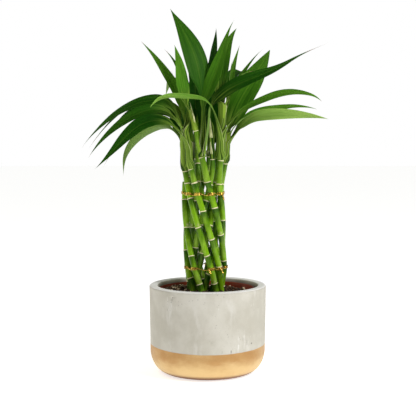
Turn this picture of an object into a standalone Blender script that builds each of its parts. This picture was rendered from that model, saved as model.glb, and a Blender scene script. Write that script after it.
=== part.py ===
"""Lucky bamboo: braided canes planted in a nursery pot, which stands in a dipped concrete planter.

Metres, +Z up. The origin is the centre of the planter's flat foot, on its axis, and the plant's
front faces -Y. An azimuth turns round +Z from the front: 0 is -Y, 90 is +X and 180 is +Y.
A pitch is the angle above the horizontal. Azimuths, pitches and rolls are in degrees.
"""

import math
from collections import namedtuple

import bmesh
import bpy
from mathutils import Vector

GAP = 0.0003                    # between pieces that touch
UP = Vector((0.0, 0.0, 1.0))
DEPTH_AXIS = Vector((0.0, 1.0, 0.0))
TURNED_SIDES = 40               # facets round the pots and the soil

# Planter: a concrete bowl with nearly straight walls
PLANTER_HEIGHT = 0.1107
PLANTER_RIM_RADIUS = 0.0730
PLANTER_WAIST_RADIUS = 0.0720   # just above the lower corner
PLANTER_FOOT_RADIUS = 0.0478
PLANTER_CORNER_HEIGHT = 0.0300
PLANTER_WALL = 0.0105
PLANTER_LIP_ROUND = 0.0025
PLANTER_FLOOR = 0.0140
PLANTER_INNER_CORNER = 0.0120

# Nursery pot: thin moulded plastic, standing on the planter's floor
NURSERY_X = -0.0010
NURSERY_RIM_RADIUS = 0.0598
NURSERY_RIM_TOP = 0.1062
NURSERY_RIM_DROP = 0.0085
NURSERY_NECK_RADIUS = 0.0570
NURSERY_FOOT_RADIUS = 0.0440
NURSERY_WALL = 0.0013
DRAIN_HOLES = 6
DRAIN_RADIUS = 0.0040
DRAIN_CIRCLE = 0.0280

# Soil: fills the nursery pot, a little domed
SOIL_EDGE_HEIGHT = 0.1010
SOIL_CROWN_HEIGHT = 0.1035
SOIL_CROWN_RADIUS = 0.0340

# Canes: an outer ring that winds one way round an inner ring that winds the other way
CANE_RADIUS = 0.00375
CANE_NODE_RADIUS = 0.00405
CANE_NODE_HALF = 0.0018
CANE_SIDES = 8
CANE_FOOT = 0.0720
HOLE_GROWTH = 0.0004            # the hole in the soil is this much wider all round
HOLE_REACH = 0.0020             # and its cutter ends at least this far above the soil
COLUMN_X = -0.0026              # the column's centre at the lower tie
COLUMN_LEAN = -0.032            # sideways run for each metre of height
TIE_LOWER = 0.1330
TIE_UPPER = 0.2255
NECK_SPAN = 0.0250              # below the lower tie the column narrows over this height
OUTER_RING = 0.0233
OUTER_NECK = 0.0030
OUTER_TWIST = -690.0            # degrees for each metre of height
INNER_RING = 0.0147
INNER_NECK = 0.0038
INNER_TWIST = 1150.0

# Tie wires: closed loops that dip in between the outer canes
WIRE_RADIUS = 0.0006
WIRE_DIP = 0.0022
WIRE_SAG = 0.0010
WIRE_POINTS = 54
WIRE_SIDES = 4
WIRE_HUG = 8.0                  # degrees to each side of a cane before the wire dips
WIRE_BEND = 12.0                # degrees over which it dips

# Leaves
LEAF_SECTIONS = 11
LEAF_THICKNESS = 0.0010
STALK_THICKNESS = 0.0020
STALK_WIDTH = 0.0040
LEAF_FOLD = 0.36                # rise of each half blade for its width
BLADE_PEAK = 0.37               # where the blade is widest, from its stalk to its tip
BLADE_SPREAD = 0.65             # a lower power opens the blade sooner
BLADE_TAPER = 1.1               # a higher power draws the tip out longer
LEAF_SHARP_ANGLE = 60.0

Cane = namedtuple("Cane", "azimuth first_node spacing top")
Shoot = namedtuple("Shoot", "cane points base_radius tip_radius")
Leaf = namedtuple("Leaf", "shoot height foot azimuth length width pitches roll twist stalk")

# Azimuth at the lower tie, height of the first node, node spacing, height of the top
OUTER_CANES = [
    Cane(-108, 0.114, 0.033, 0.238),
    Cane(-73, 0.120, 0.034, 0.237),
    Cane(-36, 0.1135, 0.0345, 0.2385),
    Cane(17, 0.1145, 0.0350, 0.236),
    Cane(47, 0.1355, 0.0345, 0.2385),
    Cane(88, 0.1080, 0.0335, 0.2400),
    Cane(130, 0.126, 0.0330, 0.2365),
    Cane(172, 0.118, 0.0340, 0.2360),
    Cane(-148, 0.131, 0.0330, 0.2370),
]
INNER_CANES = [
    Cane(-33, 0.1175, 0.0345, 0.2330),
    Cane(-82, 0.1295, 0.0290, 0.2360),
    Cane(24, 0.1255, 0.0320, 0.2440),
    Cane(84, 0.1120, 0.0330, 0.2420),
    Cane(144, 0.1230, 0.0330, 0.2460),
    Cane(-146, 0.1160, 0.0340, 0.2400),
]


def clear_scene():
    """Remove every object that the file opened with."""
    for item in list(bpy.data.objects):
        bpy.data.objects.remove(item)


def make_material(name, colour, roughness, metallic=0.0):
    """A plain Principled material."""
    material = bpy.data.materials.new(name)
    material.use_nodes = True
    surface = material.node_tree.nodes["Principled BSDF"]
    surface.inputs["Base Color"].default_value = (*colour, 1.0)
    surface.inputs["Roughness"].default_value = roughness
    surface.inputs["Metallic"].default_value = metallic
    return material


def add_object(name, mesh_builder, material, sharp_angle=40.0):
    """Turn a filled bmesh into a smooth shaded object."""
    bmesh.ops.recalc_face_normals(mesh_builder, faces=mesh_builder.faces)
    bmesh.ops.triangulate(mesh_builder, faces=mesh_builder.faces)
    mesh = bpy.data.meshes.new(name)
    mesh_builder.to_mesh(mesh)
    mesh_builder.free()
    mesh.shade_smooth()
    mesh.set_sharp_from_angle(angle=math.radians(sharp_angle))
    item = bpy.data.objects.new(name, mesh)
    item.data.materials.append(material)
    bpy.context.scene.collection.objects.link(item)
    return item


def arc(centre_r, centre_z, radius_r, radius_z, start, end, steps):
    """Points (r, z) on an elliptic arc between two angles in degrees."""
    points = []
    for step in range(steps + 1):
        angle = math.radians(start + (end - start) * step / steps)
        points.append((centre_r + radius_r * math.cos(angle), centre_z + radius_z * math.sin(angle)))
    return points


def turned(name, profile, material, centre_x=0.0, sides=TURNED_SIDES):
    """Turn a profile of (r, z) points about the vertical; both ends lie on the axis."""
    solid = bmesh.new()
    rings = []
    for r, z in profile[1:-1]:
        ring = []
        for side in range(sides):
            angle = math.tau * side / sides
            ring.append(solid.verts.new((centre_x + r * math.cos(angle), r * math.sin(angle), z)))
        rings.append(ring)
    first = solid.verts.new((centre_x, 0.0, profile[0][1]))
    last = solid.verts.new((centre_x, 0.0, profile[-1][1]))
    for side in range(sides):
        after = (side + 1) % sides
        solid.faces.new((first, rings[0][side], rings[0][after]))
        solid.faces.new((last, rings[-1][after], rings[-1][side]))
        for lower, upper in zip(rings, rings[1:]):
            solid.faces.new((lower[side], upper[side], upper[after], lower[after]))
    return add_object(name, solid, material)


def sweep(solid, path, radii, sides, reference, closed=False, level_ends=False):
    """Add a round tube along a path, with flat caps unless it closes on itself."""
    count = len(path)
    rings = []
    for index, centre in enumerate(path):
        before = path[index - 1] if closed or index else centre
        after = path[(index + 1) % count] if closed or index < count - 1 else centre
        along = (after - before).normalized()
        if level_ends and index in (0, count - 1):
            along = UP
        across = reference.cross(along).normalized()
        other = along.cross(across)
        ring = []
        for side in range(sides):
            angle = math.tau * side / sides
            offset = across * math.cos(angle) + other * math.sin(angle)
            ring.append(solid.verts.new(centre + offset * radii[index]))
        rings.append(ring)
    pairs = list(zip(rings, rings[1:]))
    if closed:
        pairs.append((rings[-1], rings[0]))
    else:
        solid.faces.new(rings[0][::-1])
        solid.faces.new(rings[-1])
    for lower, upper in pairs:
        for side in range(sides):
            after = (side + 1) % sides
            solid.faces.new((lower[side], lower[after], upper[after], upper[side]))


def cut(item, cutter):
    """Subtract the cutter, which stays in the file as a wire guide."""
    cutter.hide_render = True
    cutter.display_type = "WIRE"
    modifier = item.modifiers.new("cut", "BOOLEAN")
    modifier.operation = "DIFFERENCE"
    modifier.object = cutter


def smooth_step(value):
    """Ease from 0 to 1."""
    value = min(max(value, 0.0), 1.0)
    return value * value * (3.0 - 2.0 * value)


# Planter ---------------------------------------------------------------------------------------

def build_planter():
    """The bowl: outside from the foot up, over the lip, and down the inside."""
    outer = arc(PLANTER_FOOT_RADIUS, PLANTER_CORNER_HEIGHT,
                PLANTER_WAIST_RADIUS - PLANTER_FOOT_RADIUS, PLANTER_CORNER_HEIGHT, -90, 0, 8)
    lip = PLANTER_LIP_ROUND
    lip_outer = arc(PLANTER_RIM_RADIUS - lip, PLANTER_HEIGHT - lip, lip, lip, 0, 90, 3)
    inner_radius = PLANTER_RIM_RADIUS - PLANTER_WALL
    lip_inner = arc(inner_radius + lip, PLANTER_HEIGHT - lip, lip, lip, 90, 180, 3)
    corner = PLANTER_INNER_CORNER
    inner_waist = PLANTER_WAIST_RADIUS - PLANTER_WALL
    inner = arc(inner_waist - corner, PLANTER_FLOOR + corner, corner, corner, 0, -90, 4)
    profile = [(0.0, 0.0)] + outer + lip_outer + lip_inner + inner + [(0.0, PLANTER_FLOOR)]
    concrete = make_material("concrete", (0.63, 0.60, 0.56), 0.75)
    return turned("planter_pot", profile, concrete)


# Nursery pot -----------------------------------------------------------------------------------

def build_nursery_pot():
    """A thin tapered pot with a rolled band round its rim and drain holes in its base."""
    base = PLANTER_FLOOR + GAP
    band_foot = NURSERY_RIM_TOP - NURSERY_RIM_DROP
    wall = NURSERY_WALL
    profile = [
        (0.0, base),
        (NURSERY_FOOT_RADIUS, base),
        (NURSERY_NECK_RADIUS, band_foot),
        (NURSERY_RIM_RADIUS, band_foot),
        (NURSERY_RIM_RADIUS, NURSERY_RIM_TOP),
        (NURSERY_RIM_RADIUS - wall, NURSERY_RIM_TOP),
        (NURSERY_RIM_RADIUS - wall, band_foot + wall),
        (NURSERY_NECK_RADIUS - wall, band_foot + wall),
        (NURSERY_FOOT_RADIUS - wall, base + wall),
        (0.0, base + wall),
    ]
    plastic = make_material("terracotta plastic", (0.22, 0.028, 0.012), 0.45)
    pot = turned("nursery_pot", profile, plastic, NURSERY_X)
    holes = bmesh.new()
    for hole in range(DRAIN_HOLES):
        angle = math.tau * hole / DRAIN_HOLES
        foot = Vector((NURSERY_X + DRAIN_CIRCLE * math.cos(angle), DRAIN_CIRCLE * math.sin(angle),
                       base - wall))
        top = foot + Vector((0.0, 0.0, 3.0 * wall))
        sweep(holes, [foot, top], [DRAIN_RADIUS] * 2, CANE_SIDES, DEPTH_AXIS)
    cut(pot, add_object("drain_cutter", holes, plastic))


# Canes -----------------------------------------------------------------------------------------

def column_centre(z):
    """The column's centre line, which leans a little to -X as it rises."""
    return COLUMN_X + COLUMN_LEAN * (z - TIE_LOWER)


def cane_axis(cane, ring, neck, twist, z):
    """Centre of a cane at a height: it winds above the soil and runs straight down in it."""
    narrowing = smooth_step((TIE_LOWER - z) / NECK_SPAN)
    radius = ring - neck * narrowing
    height = max(z, SOIL_CROWN_HEIGHT)
    angle = math.radians(cane.azimuth + twist * (height - TIE_LOWER))
    return Vector((column_centre(height) + radius * math.sin(angle), -radius * math.cos(angle), z))


def cane_sections(cane):
    """Heights and radii: a thicker ring at each node, and a plain section between nodes."""
    sections = [(CANE_FOOT, CANE_RADIUS)]
    node = cane.first_node
    while node - cane.spacing > CANE_FOOT + CANE_NODE_HALF:
        node -= cane.spacing
    while node < cane.top - 2.0 * CANE_NODE_HALF:
        sections.append((node - CANE_NODE_HALF, CANE_RADIUS))
        sections.append((node, CANE_NODE_RADIUS))
        sections.append((node + CANE_NODE_HALF, CANE_RADIUS))
        middle = node + cane.spacing / 2.0
        if middle < cane.top - CANE_NODE_HALF:
            sections.append((middle, CANE_RADIUS))
        node += cane.spacing
    sections.append((cane.top, CANE_RADIUS))
    return sections


def add_cane(solid, cane, ring, neck, twist, sections, growth=0.0):
    """Sweep a cane through its sections, or its hole when growth is more than nothing."""
    path = [cane_axis(cane, ring, neck, twist, z) for z, radius in sections]
    radii = [radius + growth for z, radius in sections]
    path[0].z -= growth
    sweep(solid, path, radii, CANE_SIDES, DEPTH_AXIS, level_ends=True)


def all_canes():
    """Every cane with its ring, its narrowing and its twist."""
    for cane in OUTER_CANES:
        yield cane, OUTER_RING, OUTER_NECK, OUTER_TWIST
    for cane in INNER_CANES:
        yield cane, INNER_RING, INNER_NECK, INNER_TWIST


def build_canes():
    """One object for each cane, and the cutter that makes its hole in the soil."""
    green = make_material("cane green", (0.13, 0.27, 0.03), 0.4)
    holes = bmesh.new()
    for number, (cane, ring, neck, twist) in enumerate(all_canes(), 1):
        sections = cane_sections(cane)
        solid = bmesh.new()
        add_cane(solid, cane, ring, neck, twist, sections)
        add_object(f"cane_{number:02d}", solid, green)
        buried = [section for section in sections if section[0] < SOIL_CROWN_HEIGHT + HOLE_REACH]
        buried.append(sections[len(buried)])
        add_cane(holes, cane, ring, neck, twist, buried, HOLE_GROWTH)
    return add_object("cane_hole_cutter", holes, green)


# Soil ------------------------------------------------------------------------------------------

def build_soil(cane_holes):
    """A plug that fills the nursery pot, with a hole for each cane."""
    base = PLANTER_FLOOR + NURSERY_WALL + 2.0 * GAP
    inset = NURSERY_WALL + GAP
    neck_height = NURSERY_RIM_TOP - NURSERY_RIM_DROP
    profile = [
        (0.0, base),
        (NURSERY_FOOT_RADIUS - inset, base),
        (NURSERY_NECK_RADIUS - inset - GAP, neck_height),
        (NURSERY_NECK_RADIUS - inset - GAP, SOIL_EDGE_HEIGHT),
        (SOIL_CROWN_RADIUS, SOIL_CROWN_HEIGHT),
        (0.0, SOIL_CROWN_HEIGHT),
    ]
    earth = make_material("potting mix", (0.035, 0.022, 0.014), 0.95)
    soil = turned("potting_soil", profile, earth, NURSERY_X)
    cut(soil, cane_holes)


# Tie wires -------------------------------------------------------------------------------------

def build_tie_wire(name, height):
    """A loop that touches each outer cane and dips in between them."""
    bearings = []
    for cane in OUTER_CANES:
        bearings.append(cane.azimuth + OUTER_TWIST * (height - TIE_LOWER))
    reach = OUTER_RING + CANE_NODE_RADIUS + WIRE_RADIUS + GAP
    path = []
    for point in range(WIRE_POINTS):
        azimuth = 360.0 * point / WIRE_POINTS
        away = min(abs((azimuth - bearing + 180.0) % 360.0 - 180.0) for bearing in bearings)
        dip = smooth_step((away - WIRE_HUG) / WIRE_BEND)
        radius = reach - WIRE_DIP * dip
        angle = math.radians(azimuth)
        path.append(Vector((column_centre(height) + radius * math.sin(angle),
                            -radius * math.cos(angle), height - WIRE_SAG * dip)))
    solid = bmesh.new()
    sweep(solid, path, [WIRE_RADIUS] * WIRE_POINTS, WIRE_SIDES, UP, closed=True)
    brass = make_material("gold wire", (0.75, 0.45, 0.10), 0.3, 1.0)
    add_object(name, solid, brass)


# Shoots ----------------------------------------------------------------------------------------

# The cane it grows from, then the points that it passes through above that cane's top
SHOOTS = {
    "shoot_left": Shoot(4, [(-0.0290, -0.0110, 0.262), (-0.0297, -0.0100, 0.286),
                            (-0.0345, -0.0090, 0.303)], 0.0037, 0.0030),
    "shoot_front_left": Shoot(5, [(-0.0215, -0.0190, 0.262), (-0.0240, -0.0180, 0.285),
                                  (-0.0285, -0.0165, 0.305)], 0.0037, 0.0028),
    "shoot_front": Shoot(6, [(-0.0070, -0.0225, 0.271), (-0.0115, -0.0215, 0.286),
                             (-0.0150, -0.0205, 0.305), (-0.0220, -0.0185, 0.333)], 0.0043, 0.0024),
    "shoot_centre": Shoot(11, [(0.0065, -0.0115, 0.262), (0.0045, -0.0120, 0.290),
                               (0.0030, -0.0120, 0.316)], 0.0036, 0.0024),
    "shoot_front_right": Shoot(7, [(0.0160, -0.0130, 0.267), (0.0165, -0.0130, 0.292),
                                   (0.0180, -0.0115, 0.318), (0.0185, -0.0100, 0.341)], 0.0038, 0.0032),
    "shoot_right": Shoot(8, [(0.0226, 0.0040, 0.267), (0.0244, 0.0040, 0.288),
                             (0.0262, 0.0040, 0.303)], 0.0037, 0.0027),
    "shoot_back_right": Shoot(9, [(0.0120, 0.0190, 0.270), (0.0140, 0.0200, 0.300),
                                  (0.0150, 0.0210, 0.325)], 0.0036, 0.0026),
    "shoot_back": Shoot(1, [(-0.0070, 0.0230, 0.270), (-0.0060, 0.0220, 0.305),
                            (-0.0040, 0.0220, 0.330)], 0.0036, 0.0026),
    "shoot_back_left": Shoot(2, [(-0.0220, 0.0180, 0.270), (-0.0240, 0.0170, 0.300),
                                 (-0.0260, 0.0160, 0.322)], 0.0036, 0.0026),
    "cut_stem": Shoot(3, [(-0.0312, 0.0040, 0.262), (-0.0318, 0.0035, 0.281)], 0.0036, 0.0033),
}
SHOOT_STEPS = 9


def curve_point(points, height):
    """Point of a smooth curve through the given points, at a height."""
    points = [Vector(point) for point in points]
    for index in range(len(points) - 1):
        start, end = points[index], points[index + 1]
        if height <= end.z or index == len(points) - 2:
            break
    before = points[max(index - 1, 0)]
    after = points[min(index + 2, len(points) - 1)]
    t = (height - start.z) / (end.z - start.z)
    slope_in = (end - before) / (end.z - before.z) * (end.z - start.z)
    slope_out = (after - start) / (after.z - start.z) * (end.z - start.z)
    return (start * (2 * t ** 3 - 3 * t ** 2 + 1) + slope_in * (t ** 3 - 2 * t ** 2 + t)
            + end * (3 * t ** 2 - 2 * t ** 3) + slope_out * (t ** 3 - t ** 2))


def shoot_points(shoot):
    """The shoot's points, from just above its cane's cut top."""
    cane, ring, neck, twist = list(all_canes())[shoot.cane - 1]
    base = cane_axis(cane, ring, neck, twist, cane.top)
    return [(base.x, base.y, base.z + GAP)] + shoot.points


def shoot_radius(shoot, height):
    """Radius of a shoot at a height, tapering from its base to its tip."""
    points = shoot_points(shoot)
    low, high = points[0][2], points[-1][2]
    along = (height - low) / (high - low)
    return shoot.base_radius + (shoot.tip_radius - shoot.base_radius) * along


def build_shoots():
    """The leafy stems that carry on from the canes."""
    green = make_material("shoot green", (0.16, 0.32, 0.04), 0.45)
    for name, shoot in SHOOTS.items():
        points = shoot_points(shoot)
        low, high = points[0][2], points[-1][2]
        heights = [low + (high - low) * step / SHOOT_STEPS for step in range(SHOOT_STEPS + 1)]
        path = [curve_point(points, height) for height in heights]
        radii = [shoot_radius(shoot, height) for height in heights]
        solid = bmesh.new()
        sweep(solid, path, radii, CANE_SIDES, DEPTH_AXIS, level_ends=True)
        add_object(name, solid, green)


# Leaves ----------------------------------------------------------------------------------------

LEAVES = {
    # Upright leaves of the crown
    "crown_1": Leaf("shoot_front", 0.273, 142, -114, 0.19, 0.029, (90, 87, 84, 78, 63, 57, 57),
                    -46, 0, 0.38),
    "crown_2": Leaf("shoot_front", 0.287, 85, 98, 0.158, 0.02, (90, 88, 69, 69, 75, 70, 52), 24, 40, 0.27),
    "crown_3": Leaf("shoot_back", 0.316, 100, 135, 0.117, 0.018, (84, 79, 88), 0, 0, 0.2),
    "crown_4": Leaf("shoot_front_right", 0.334, -105, 118, 0.1, 0.018, (86, 82, 78, 65, 46), 45, 0, 0.12),
    "crown_5": Leaf("shoot_front_right", 0.326, 110, 138, 0.088, 0.008, (80, 74, 62), 20, 0, 0.2),
    "crown_6": Leaf("shoot_back_right", 0.31, 140, 124, 0.118, 0.007, (76, 64, 51, 48, 34), 20, 0, 0.25),
    "crown_7": Leaf("shoot_right", 0.285, 180, 125, 0.14, 0.034, (82, 62, 53, 53, 57), 35, 0, 0.15),
    "crown_8": Leaf("shoot_front", 0.325, -60, -95, 0.084, 0.016, (78, 82, 72), -62, 0, 0.14),
    "crown_9": Leaf("shoot_front_left", 0.3, 130, -110, 0.112, 0.009, (86, 84, 76, 58, 36), -30, 0, 0.25),
    "crown_10": Leaf("shoot_front_left", 0.29, 178, -118, 0.146, 0.0125, (84, 72, 55, 49, 40),
                     -45, 0, 0.25),
    "crown_11": Leaf("shoot_back_left", 0.312, 110, -110, 0.068, 0.014, (76, 74, 84), 0, 0, 0.2),
    # Leaves that arch over to the left
    "left_1": Leaf("shoot_left", 0.286, -34, -98, 0.186, 0.0145, (91, 62, -2, -24, -37, -46, -60),
                   -55, 0, 0.22),
    "left_2": Leaf("shoot_front_left", 0.29, -70, -82, 0.161, 0.015, (81, 40, -8, -31, -40, -50, -62),
                   -50, 0, 0.22),
    "left_3": Leaf("shoot_front_left", 0.28, -30, -72, 0.155, 0.019, (74, 36, -6, -38, -48, -44, -40),
                   -50, 0, 0.22),
    "left_4": Leaf("shoot_left", 0.278, -150, -108, 0.135, 0.016, (84, 33, -14, -38, -53, -85, -92),
                   40, 0, 0.22),
    "left_5": Leaf("shoot_left", 0.285, 138, -142, 0.056, 0.014, (52, 48, 60), -30, 0, 0.16),
    "left_6": Leaf("shoot_back_left", 0.304, -110, -106, 0.176, 0.009, (74, 36, -8, -33, -42, -50, -54),
                   -40, 0, 0.22),
    "left_7": Leaf("shoot_back_left", 0.287, -80, -98, 0.149, 0.009, (72, 33, -17, -36, -46, -57, -68),
                   -40, 0, 0.22),
    "left_8": Leaf("shoot_front_right", 0.2875, -18, -48, 0.15, 0.009,
                   (80, 77, 68, 38, 8, 4, 2, -2, -14, -40, -52), -45, 0, 0.36),
    # Leaves that arch over to the right
    "right_1": Leaf("shoot_centre", 0.306, -20, 78, 0.19, 0.017, (91, 42, 22, 20, 31, 22, 22),
                    50, 20, 0.15),
    "right_2": Leaf("shoot_front_right", 0.289, 40, 75, 0.151, 0.012, (81, 43, 27, 21, 4, -14, -60),
                    50, 0, 0.25),
    "right_3": Leaf("shoot_right", 0.286, 120, 98, 0.132, 0.01, (70, 52, 21, 7, 6, -6, -22), 50, 0, 0.15),
    "right_4": Leaf("shoot_right", 0.286, 60, 75, 0.139, 0.018, (67, 40, 8, 4, -5, -8, -15), 52, 0, 0.15),
    "right_5": Leaf("shoot_right", 0.297, 20, 60, 0.045, 0.008, (60, 42, 30, 26), 20, 0, 0.15),
    # Leaves behind the column
    "back_1": Leaf("shoot_back", 0.327, 175, 172, 0.165, 0.022, (76, 36, 0, -25, -50), 0, 0, 0.2),
    "back_2": Leaf("shoot_back_right", 0.32, 145, 158, 0.16, 0.02, (76, 40, 10, -20, -45), 0, 0, 0.2),
    "back_3": Leaf("shoot_back_left", 0.318, -175, -165, 0.155, 0.02, (76, 36, 5, -25, -50), 0, 0, 0.2),
    "back_4": Leaf("shoot_back", 0.308, -110, -150, 0.125, 0.022, (86, 74, 60), 0, 0, 0.2),
    "back_5": Leaf("shoot_back_right", 0.3, -130, -172, 0.1, 0.014, (84, 74, 62), 0, 0, 0.2),
}


def pitch_at(leaf, t):
    """Pitch at t, between the pitches given at even steps along the leaf."""
    place = t * (len(leaf.pitches) - 1)
    index = min(int(place), len(leaf.pitches) - 2)
    return leaf.pitches[index] + (leaf.pitches[index + 1] - leaf.pitches[index]) * (place - index)


def leaf_frame(leaf, steps):
    """Yield t, centre, side and normal along a leaf's midrib."""
    shoot = SHOOTS[leaf.shoot]
    foot = math.radians(leaf.foot)
    outward = Vector((math.sin(foot), -math.cos(foot), 0.0))
    reach = shoot_radius(shoot, leaf.height) + STALK_WIDTH / 2.0 + GAP
    centre = curve_point(shoot_points(shoot), leaf.height) + outward * reach
    azimuth = math.radians(leaf.azimuth)
    stride = leaf.length / steps
    for step in range(steps + 1):
        t = step / steps
        pitch = math.radians(pitch_at(leaf, t))
        roll = math.radians(leaf.roll * smooth_step(t / leaf.stalk) + leaf.twist * t)
        along = Vector((math.sin(azimuth) * math.cos(pitch), -math.cos(azimuth) * math.cos(pitch),
                        math.sin(pitch)))
        level = Vector((math.cos(azimuth), math.sin(azimuth), 0.0))
        upper = along.cross(level)
        side = level * math.cos(roll) + upper * math.sin(roll)
        normal = along.cross(side)
        yield t, centre.copy(), side, normal
        centre = centre + along * stride


def leaf_half_width(leaf, t):
    """Half the width at t: an even stalk, then a long pointed blade."""
    if t <= leaf.stalk:
        return STALK_WIDTH / 2.0
    s = (t - leaf.stalk) / (1.0 - leaf.stalk)
    blade = (s / BLADE_PEAK) ** BLADE_SPREAD * ((1.0 - s) / (1.0 - BLADE_PEAK)) ** BLADE_TAPER
    stalk = (1.0 - blade) * (1.0 - s) ** 3
    return (leaf.width * blade + STALK_WIDTH * stalk) / 2.0


def build_leaves():
    """Thin closed blades, folded a little along the midrib."""
    green = make_material("leaf green", (0.05, 0.18, 0.02), 0.4)
    for name, leaf in LEAVES.items():
        solid = bmesh.new()
        rings = []
        for t, centre, side, normal in leaf_frame(leaf, LEAF_SECTIONS):
            if t == 1.0:
                tip = solid.verts.new(centre)
                break
            half = leaf_half_width(leaf, t)
            thickness = STALK_THICKNESS if t < leaf.stalk else LEAF_THICKNESS
            rise = normal * half * LEAF_FOLD
            rings.append([
                solid.verts.new(centre - side * half + rise),
                solid.verts.new(centre - normal * thickness / 2.0),
                solid.verts.new(centre + side * half + rise),
                solid.verts.new(centre + normal * thickness / 2.0),
            ])
        solid.faces.new(rings[0][::-1])
        for lower, upper in zip(rings, rings[1:]):
            for corner in range(4):
                after = (corner + 1) % 4
                solid.faces.new((lower[corner], lower[after], upper[after], upper[corner]))
        for corner in range(4):
            solid.faces.new((rings[-1][corner], rings[-1][(corner + 1) % 4], tip))
        add_object(f"leaf_{name}", solid, green, LEAF_SHARP_ANGLE)


def main():
    clear_scene()
    build_planter()
    build_nursery_pot()
    build_soil(build_canes())
    build_tie_wire("lower_tie_wire", TIE_LOWER)
    build_tie_wire("upper_tie_wire", TIE_UPPER)
    build_shoots()
    build_leaves()


main()
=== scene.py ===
import math
import random
from collections import namedtuple

import bmesh
import bpy
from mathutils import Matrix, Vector, noise

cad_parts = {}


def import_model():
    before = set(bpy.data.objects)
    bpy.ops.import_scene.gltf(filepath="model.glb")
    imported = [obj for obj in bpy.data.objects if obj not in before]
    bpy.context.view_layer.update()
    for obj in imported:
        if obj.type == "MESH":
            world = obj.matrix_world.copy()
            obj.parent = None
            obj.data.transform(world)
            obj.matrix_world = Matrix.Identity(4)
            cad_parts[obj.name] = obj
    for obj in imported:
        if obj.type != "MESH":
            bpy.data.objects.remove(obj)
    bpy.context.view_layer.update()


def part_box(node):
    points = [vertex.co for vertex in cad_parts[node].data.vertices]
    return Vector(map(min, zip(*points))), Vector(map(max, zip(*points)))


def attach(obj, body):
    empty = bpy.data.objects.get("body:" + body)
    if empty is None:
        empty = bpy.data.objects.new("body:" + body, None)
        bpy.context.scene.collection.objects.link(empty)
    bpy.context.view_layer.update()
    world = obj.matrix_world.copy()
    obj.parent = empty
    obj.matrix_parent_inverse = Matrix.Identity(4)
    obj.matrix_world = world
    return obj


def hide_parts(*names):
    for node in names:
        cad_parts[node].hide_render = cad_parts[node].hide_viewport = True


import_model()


# Planter ------------------------------------------------------------------
# A cup cast in pale concrete, with nearly straight walls, a soft lip and a round base corner. It
# is turned from one profile, keeps the dents that air left in the casting, and its foot is dipped
# in gold paint up to a level line.

PLANTER_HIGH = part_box("planter_pot")[1]
RIM_RADIUS = PLANTER_HIGH.x
RIM_HEIGHT = PLANTER_HIGH.z
WAIST_RADIUS = RIM_RADIUS - 0.001
FOOT_RADIUS = 0.0478
BASE_CORNER = 0.03
PLANTER_WALL = 0.0105
LIP_ROUND = 0.0025
PLANTER_FLOOR = 0.014
INNER_CORNER = 0.012
PLANTER_SIDES = 360
PAINT_LINE = 0.0355
PAINT_TILT = 0.0022             # the paint line stands higher at the two sides
SHARP_EDGE = 50.0
SMALL_DENTS = 46

CONCRETE = (0.64, 0.618, 0.548, 1.0)
CONCRETE_CLOUD = (0.52, 0.495, 0.42, 1.0)
CONCRETE_DUST = (0.8, 0.785, 0.75, 1.0)
CONCRETE_LIME = (0.9, 0.89, 0.87, 1.0)
# Painted shade inside the pinholes.
CONCRETE_PORE_SHADE = (0.3, 0.28, 0.25, 1.0)
CONCRETE_STAIN = (0.16, 0.14, 0.12, 1.0)
# The inner wall's colour is painted shade.
CONCRETE_INNER_SHADE = (0.2, 0.19, 0.165, 1.0)
# Partly rubbed wear and partly a painted highlight on the lip's top.
CONCRETE_RUBBED_AND_LIT = (0.97, 0.96, 0.93, 1.0)
# Gold paler low down and deeper above: a painted reflection.
GOLD_PALE = (0.735, 0.53, 0.255, 1.0)
GOLD_DEEP = (0.52, 0.285, 0.1, 1.0)
GOLD_FOOT_BROWN = (0.2, 0.075, 0.015, 1.0)

# Dents in the wall: azimuth from the front in degrees, height, radius and depth
AIR_DENTS = [
    (-36.4, 0.1021, 0.0023, 0.0011), (-33, 0.1042, 0.0014, 0.0007), (-41, 0.103, 0.0012, 0.0005),
    (-35.5, 0.097, 0.0011, 0.0004), (2.9, 0.0497, 0.0015, 0.0006), (5.6, 0.0465, 0.001, 0.0004),
    (35.1, 0.0513, 0.0016, 0.0006), (42, 0.0442, 0.0013, 0.0005), (27.9, 0.0385, 0.0014, 0.0006),
    (24, 0.04, 0.001, 0.0004),
]

# Pale runs of lime and dark stains: azimuth, height, half width, half height and strength
LIME_RUNS = [
    (-38, 0.0905, 0.003, 0.0085, 0.4), (-41.5, 0.0985, 0.0014, 0.006, 0.45),
    (-34.5, 0.0965, 0.0012, 0.0075, 0.4), (-31, 0.092, 0.0012, 0.0055, 0.35),
    (22, 0.039, 0.0012, 0.003, 0.45), (27.5, 0.0425, 0.0013, 0.0062, 0.46),
    (30.8, 0.0462, 0.0017, 0.01, 0.54), (34, 0.0435, 0.0012, 0.007, 0.42),
    (38, 0.0485, 0.0021, 0.009, 0.56), (40.5, 0.054, 0.0012, 0.005, 0.4),
    (43.4, 0.0465, 0.0017, 0.007, 0.48), (46.5, 0.051, 0.0013, 0.005, 0.4),
    (48, 0.095, 0.004, 0.005, 0.35), (12, 0.087, 0.008, 0.005, 0.3),
]
STAINS = [
    (-35.5, 0.103, 0.0007, 0.0013, 0.7), (-34, 0.0985, 0.0005, 0.0014, 0.5),
    (-42.5, 0.105, 0.0011, 0.0006, 0.6), (2.5, 0.053, 0.002, 0.0004, 0.4),
    (3.8, 0.0505, 0.001, 0.0004, 0.5), (14.3, 0.0385, 0.0004, 0.0018, 0.7),
    (16.2, 0.04, 0.0008, 0.0004, 0.5), (22.8, 0.0385, 0.0006, 0.002, 0.8),
    (26.5, 0.042, 0.0005, 0.0014, 0.6), (32.5, 0.052, 0.0003, 0.005, 0.5),
    (41, 0.047, 0.0004, 0.003, 0.6), (47.5, 0.0455, 0.001, 0.0012, 0.7),
    (46, 0.1015, 0.0022, 0.0004, 0.5),
]


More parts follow.
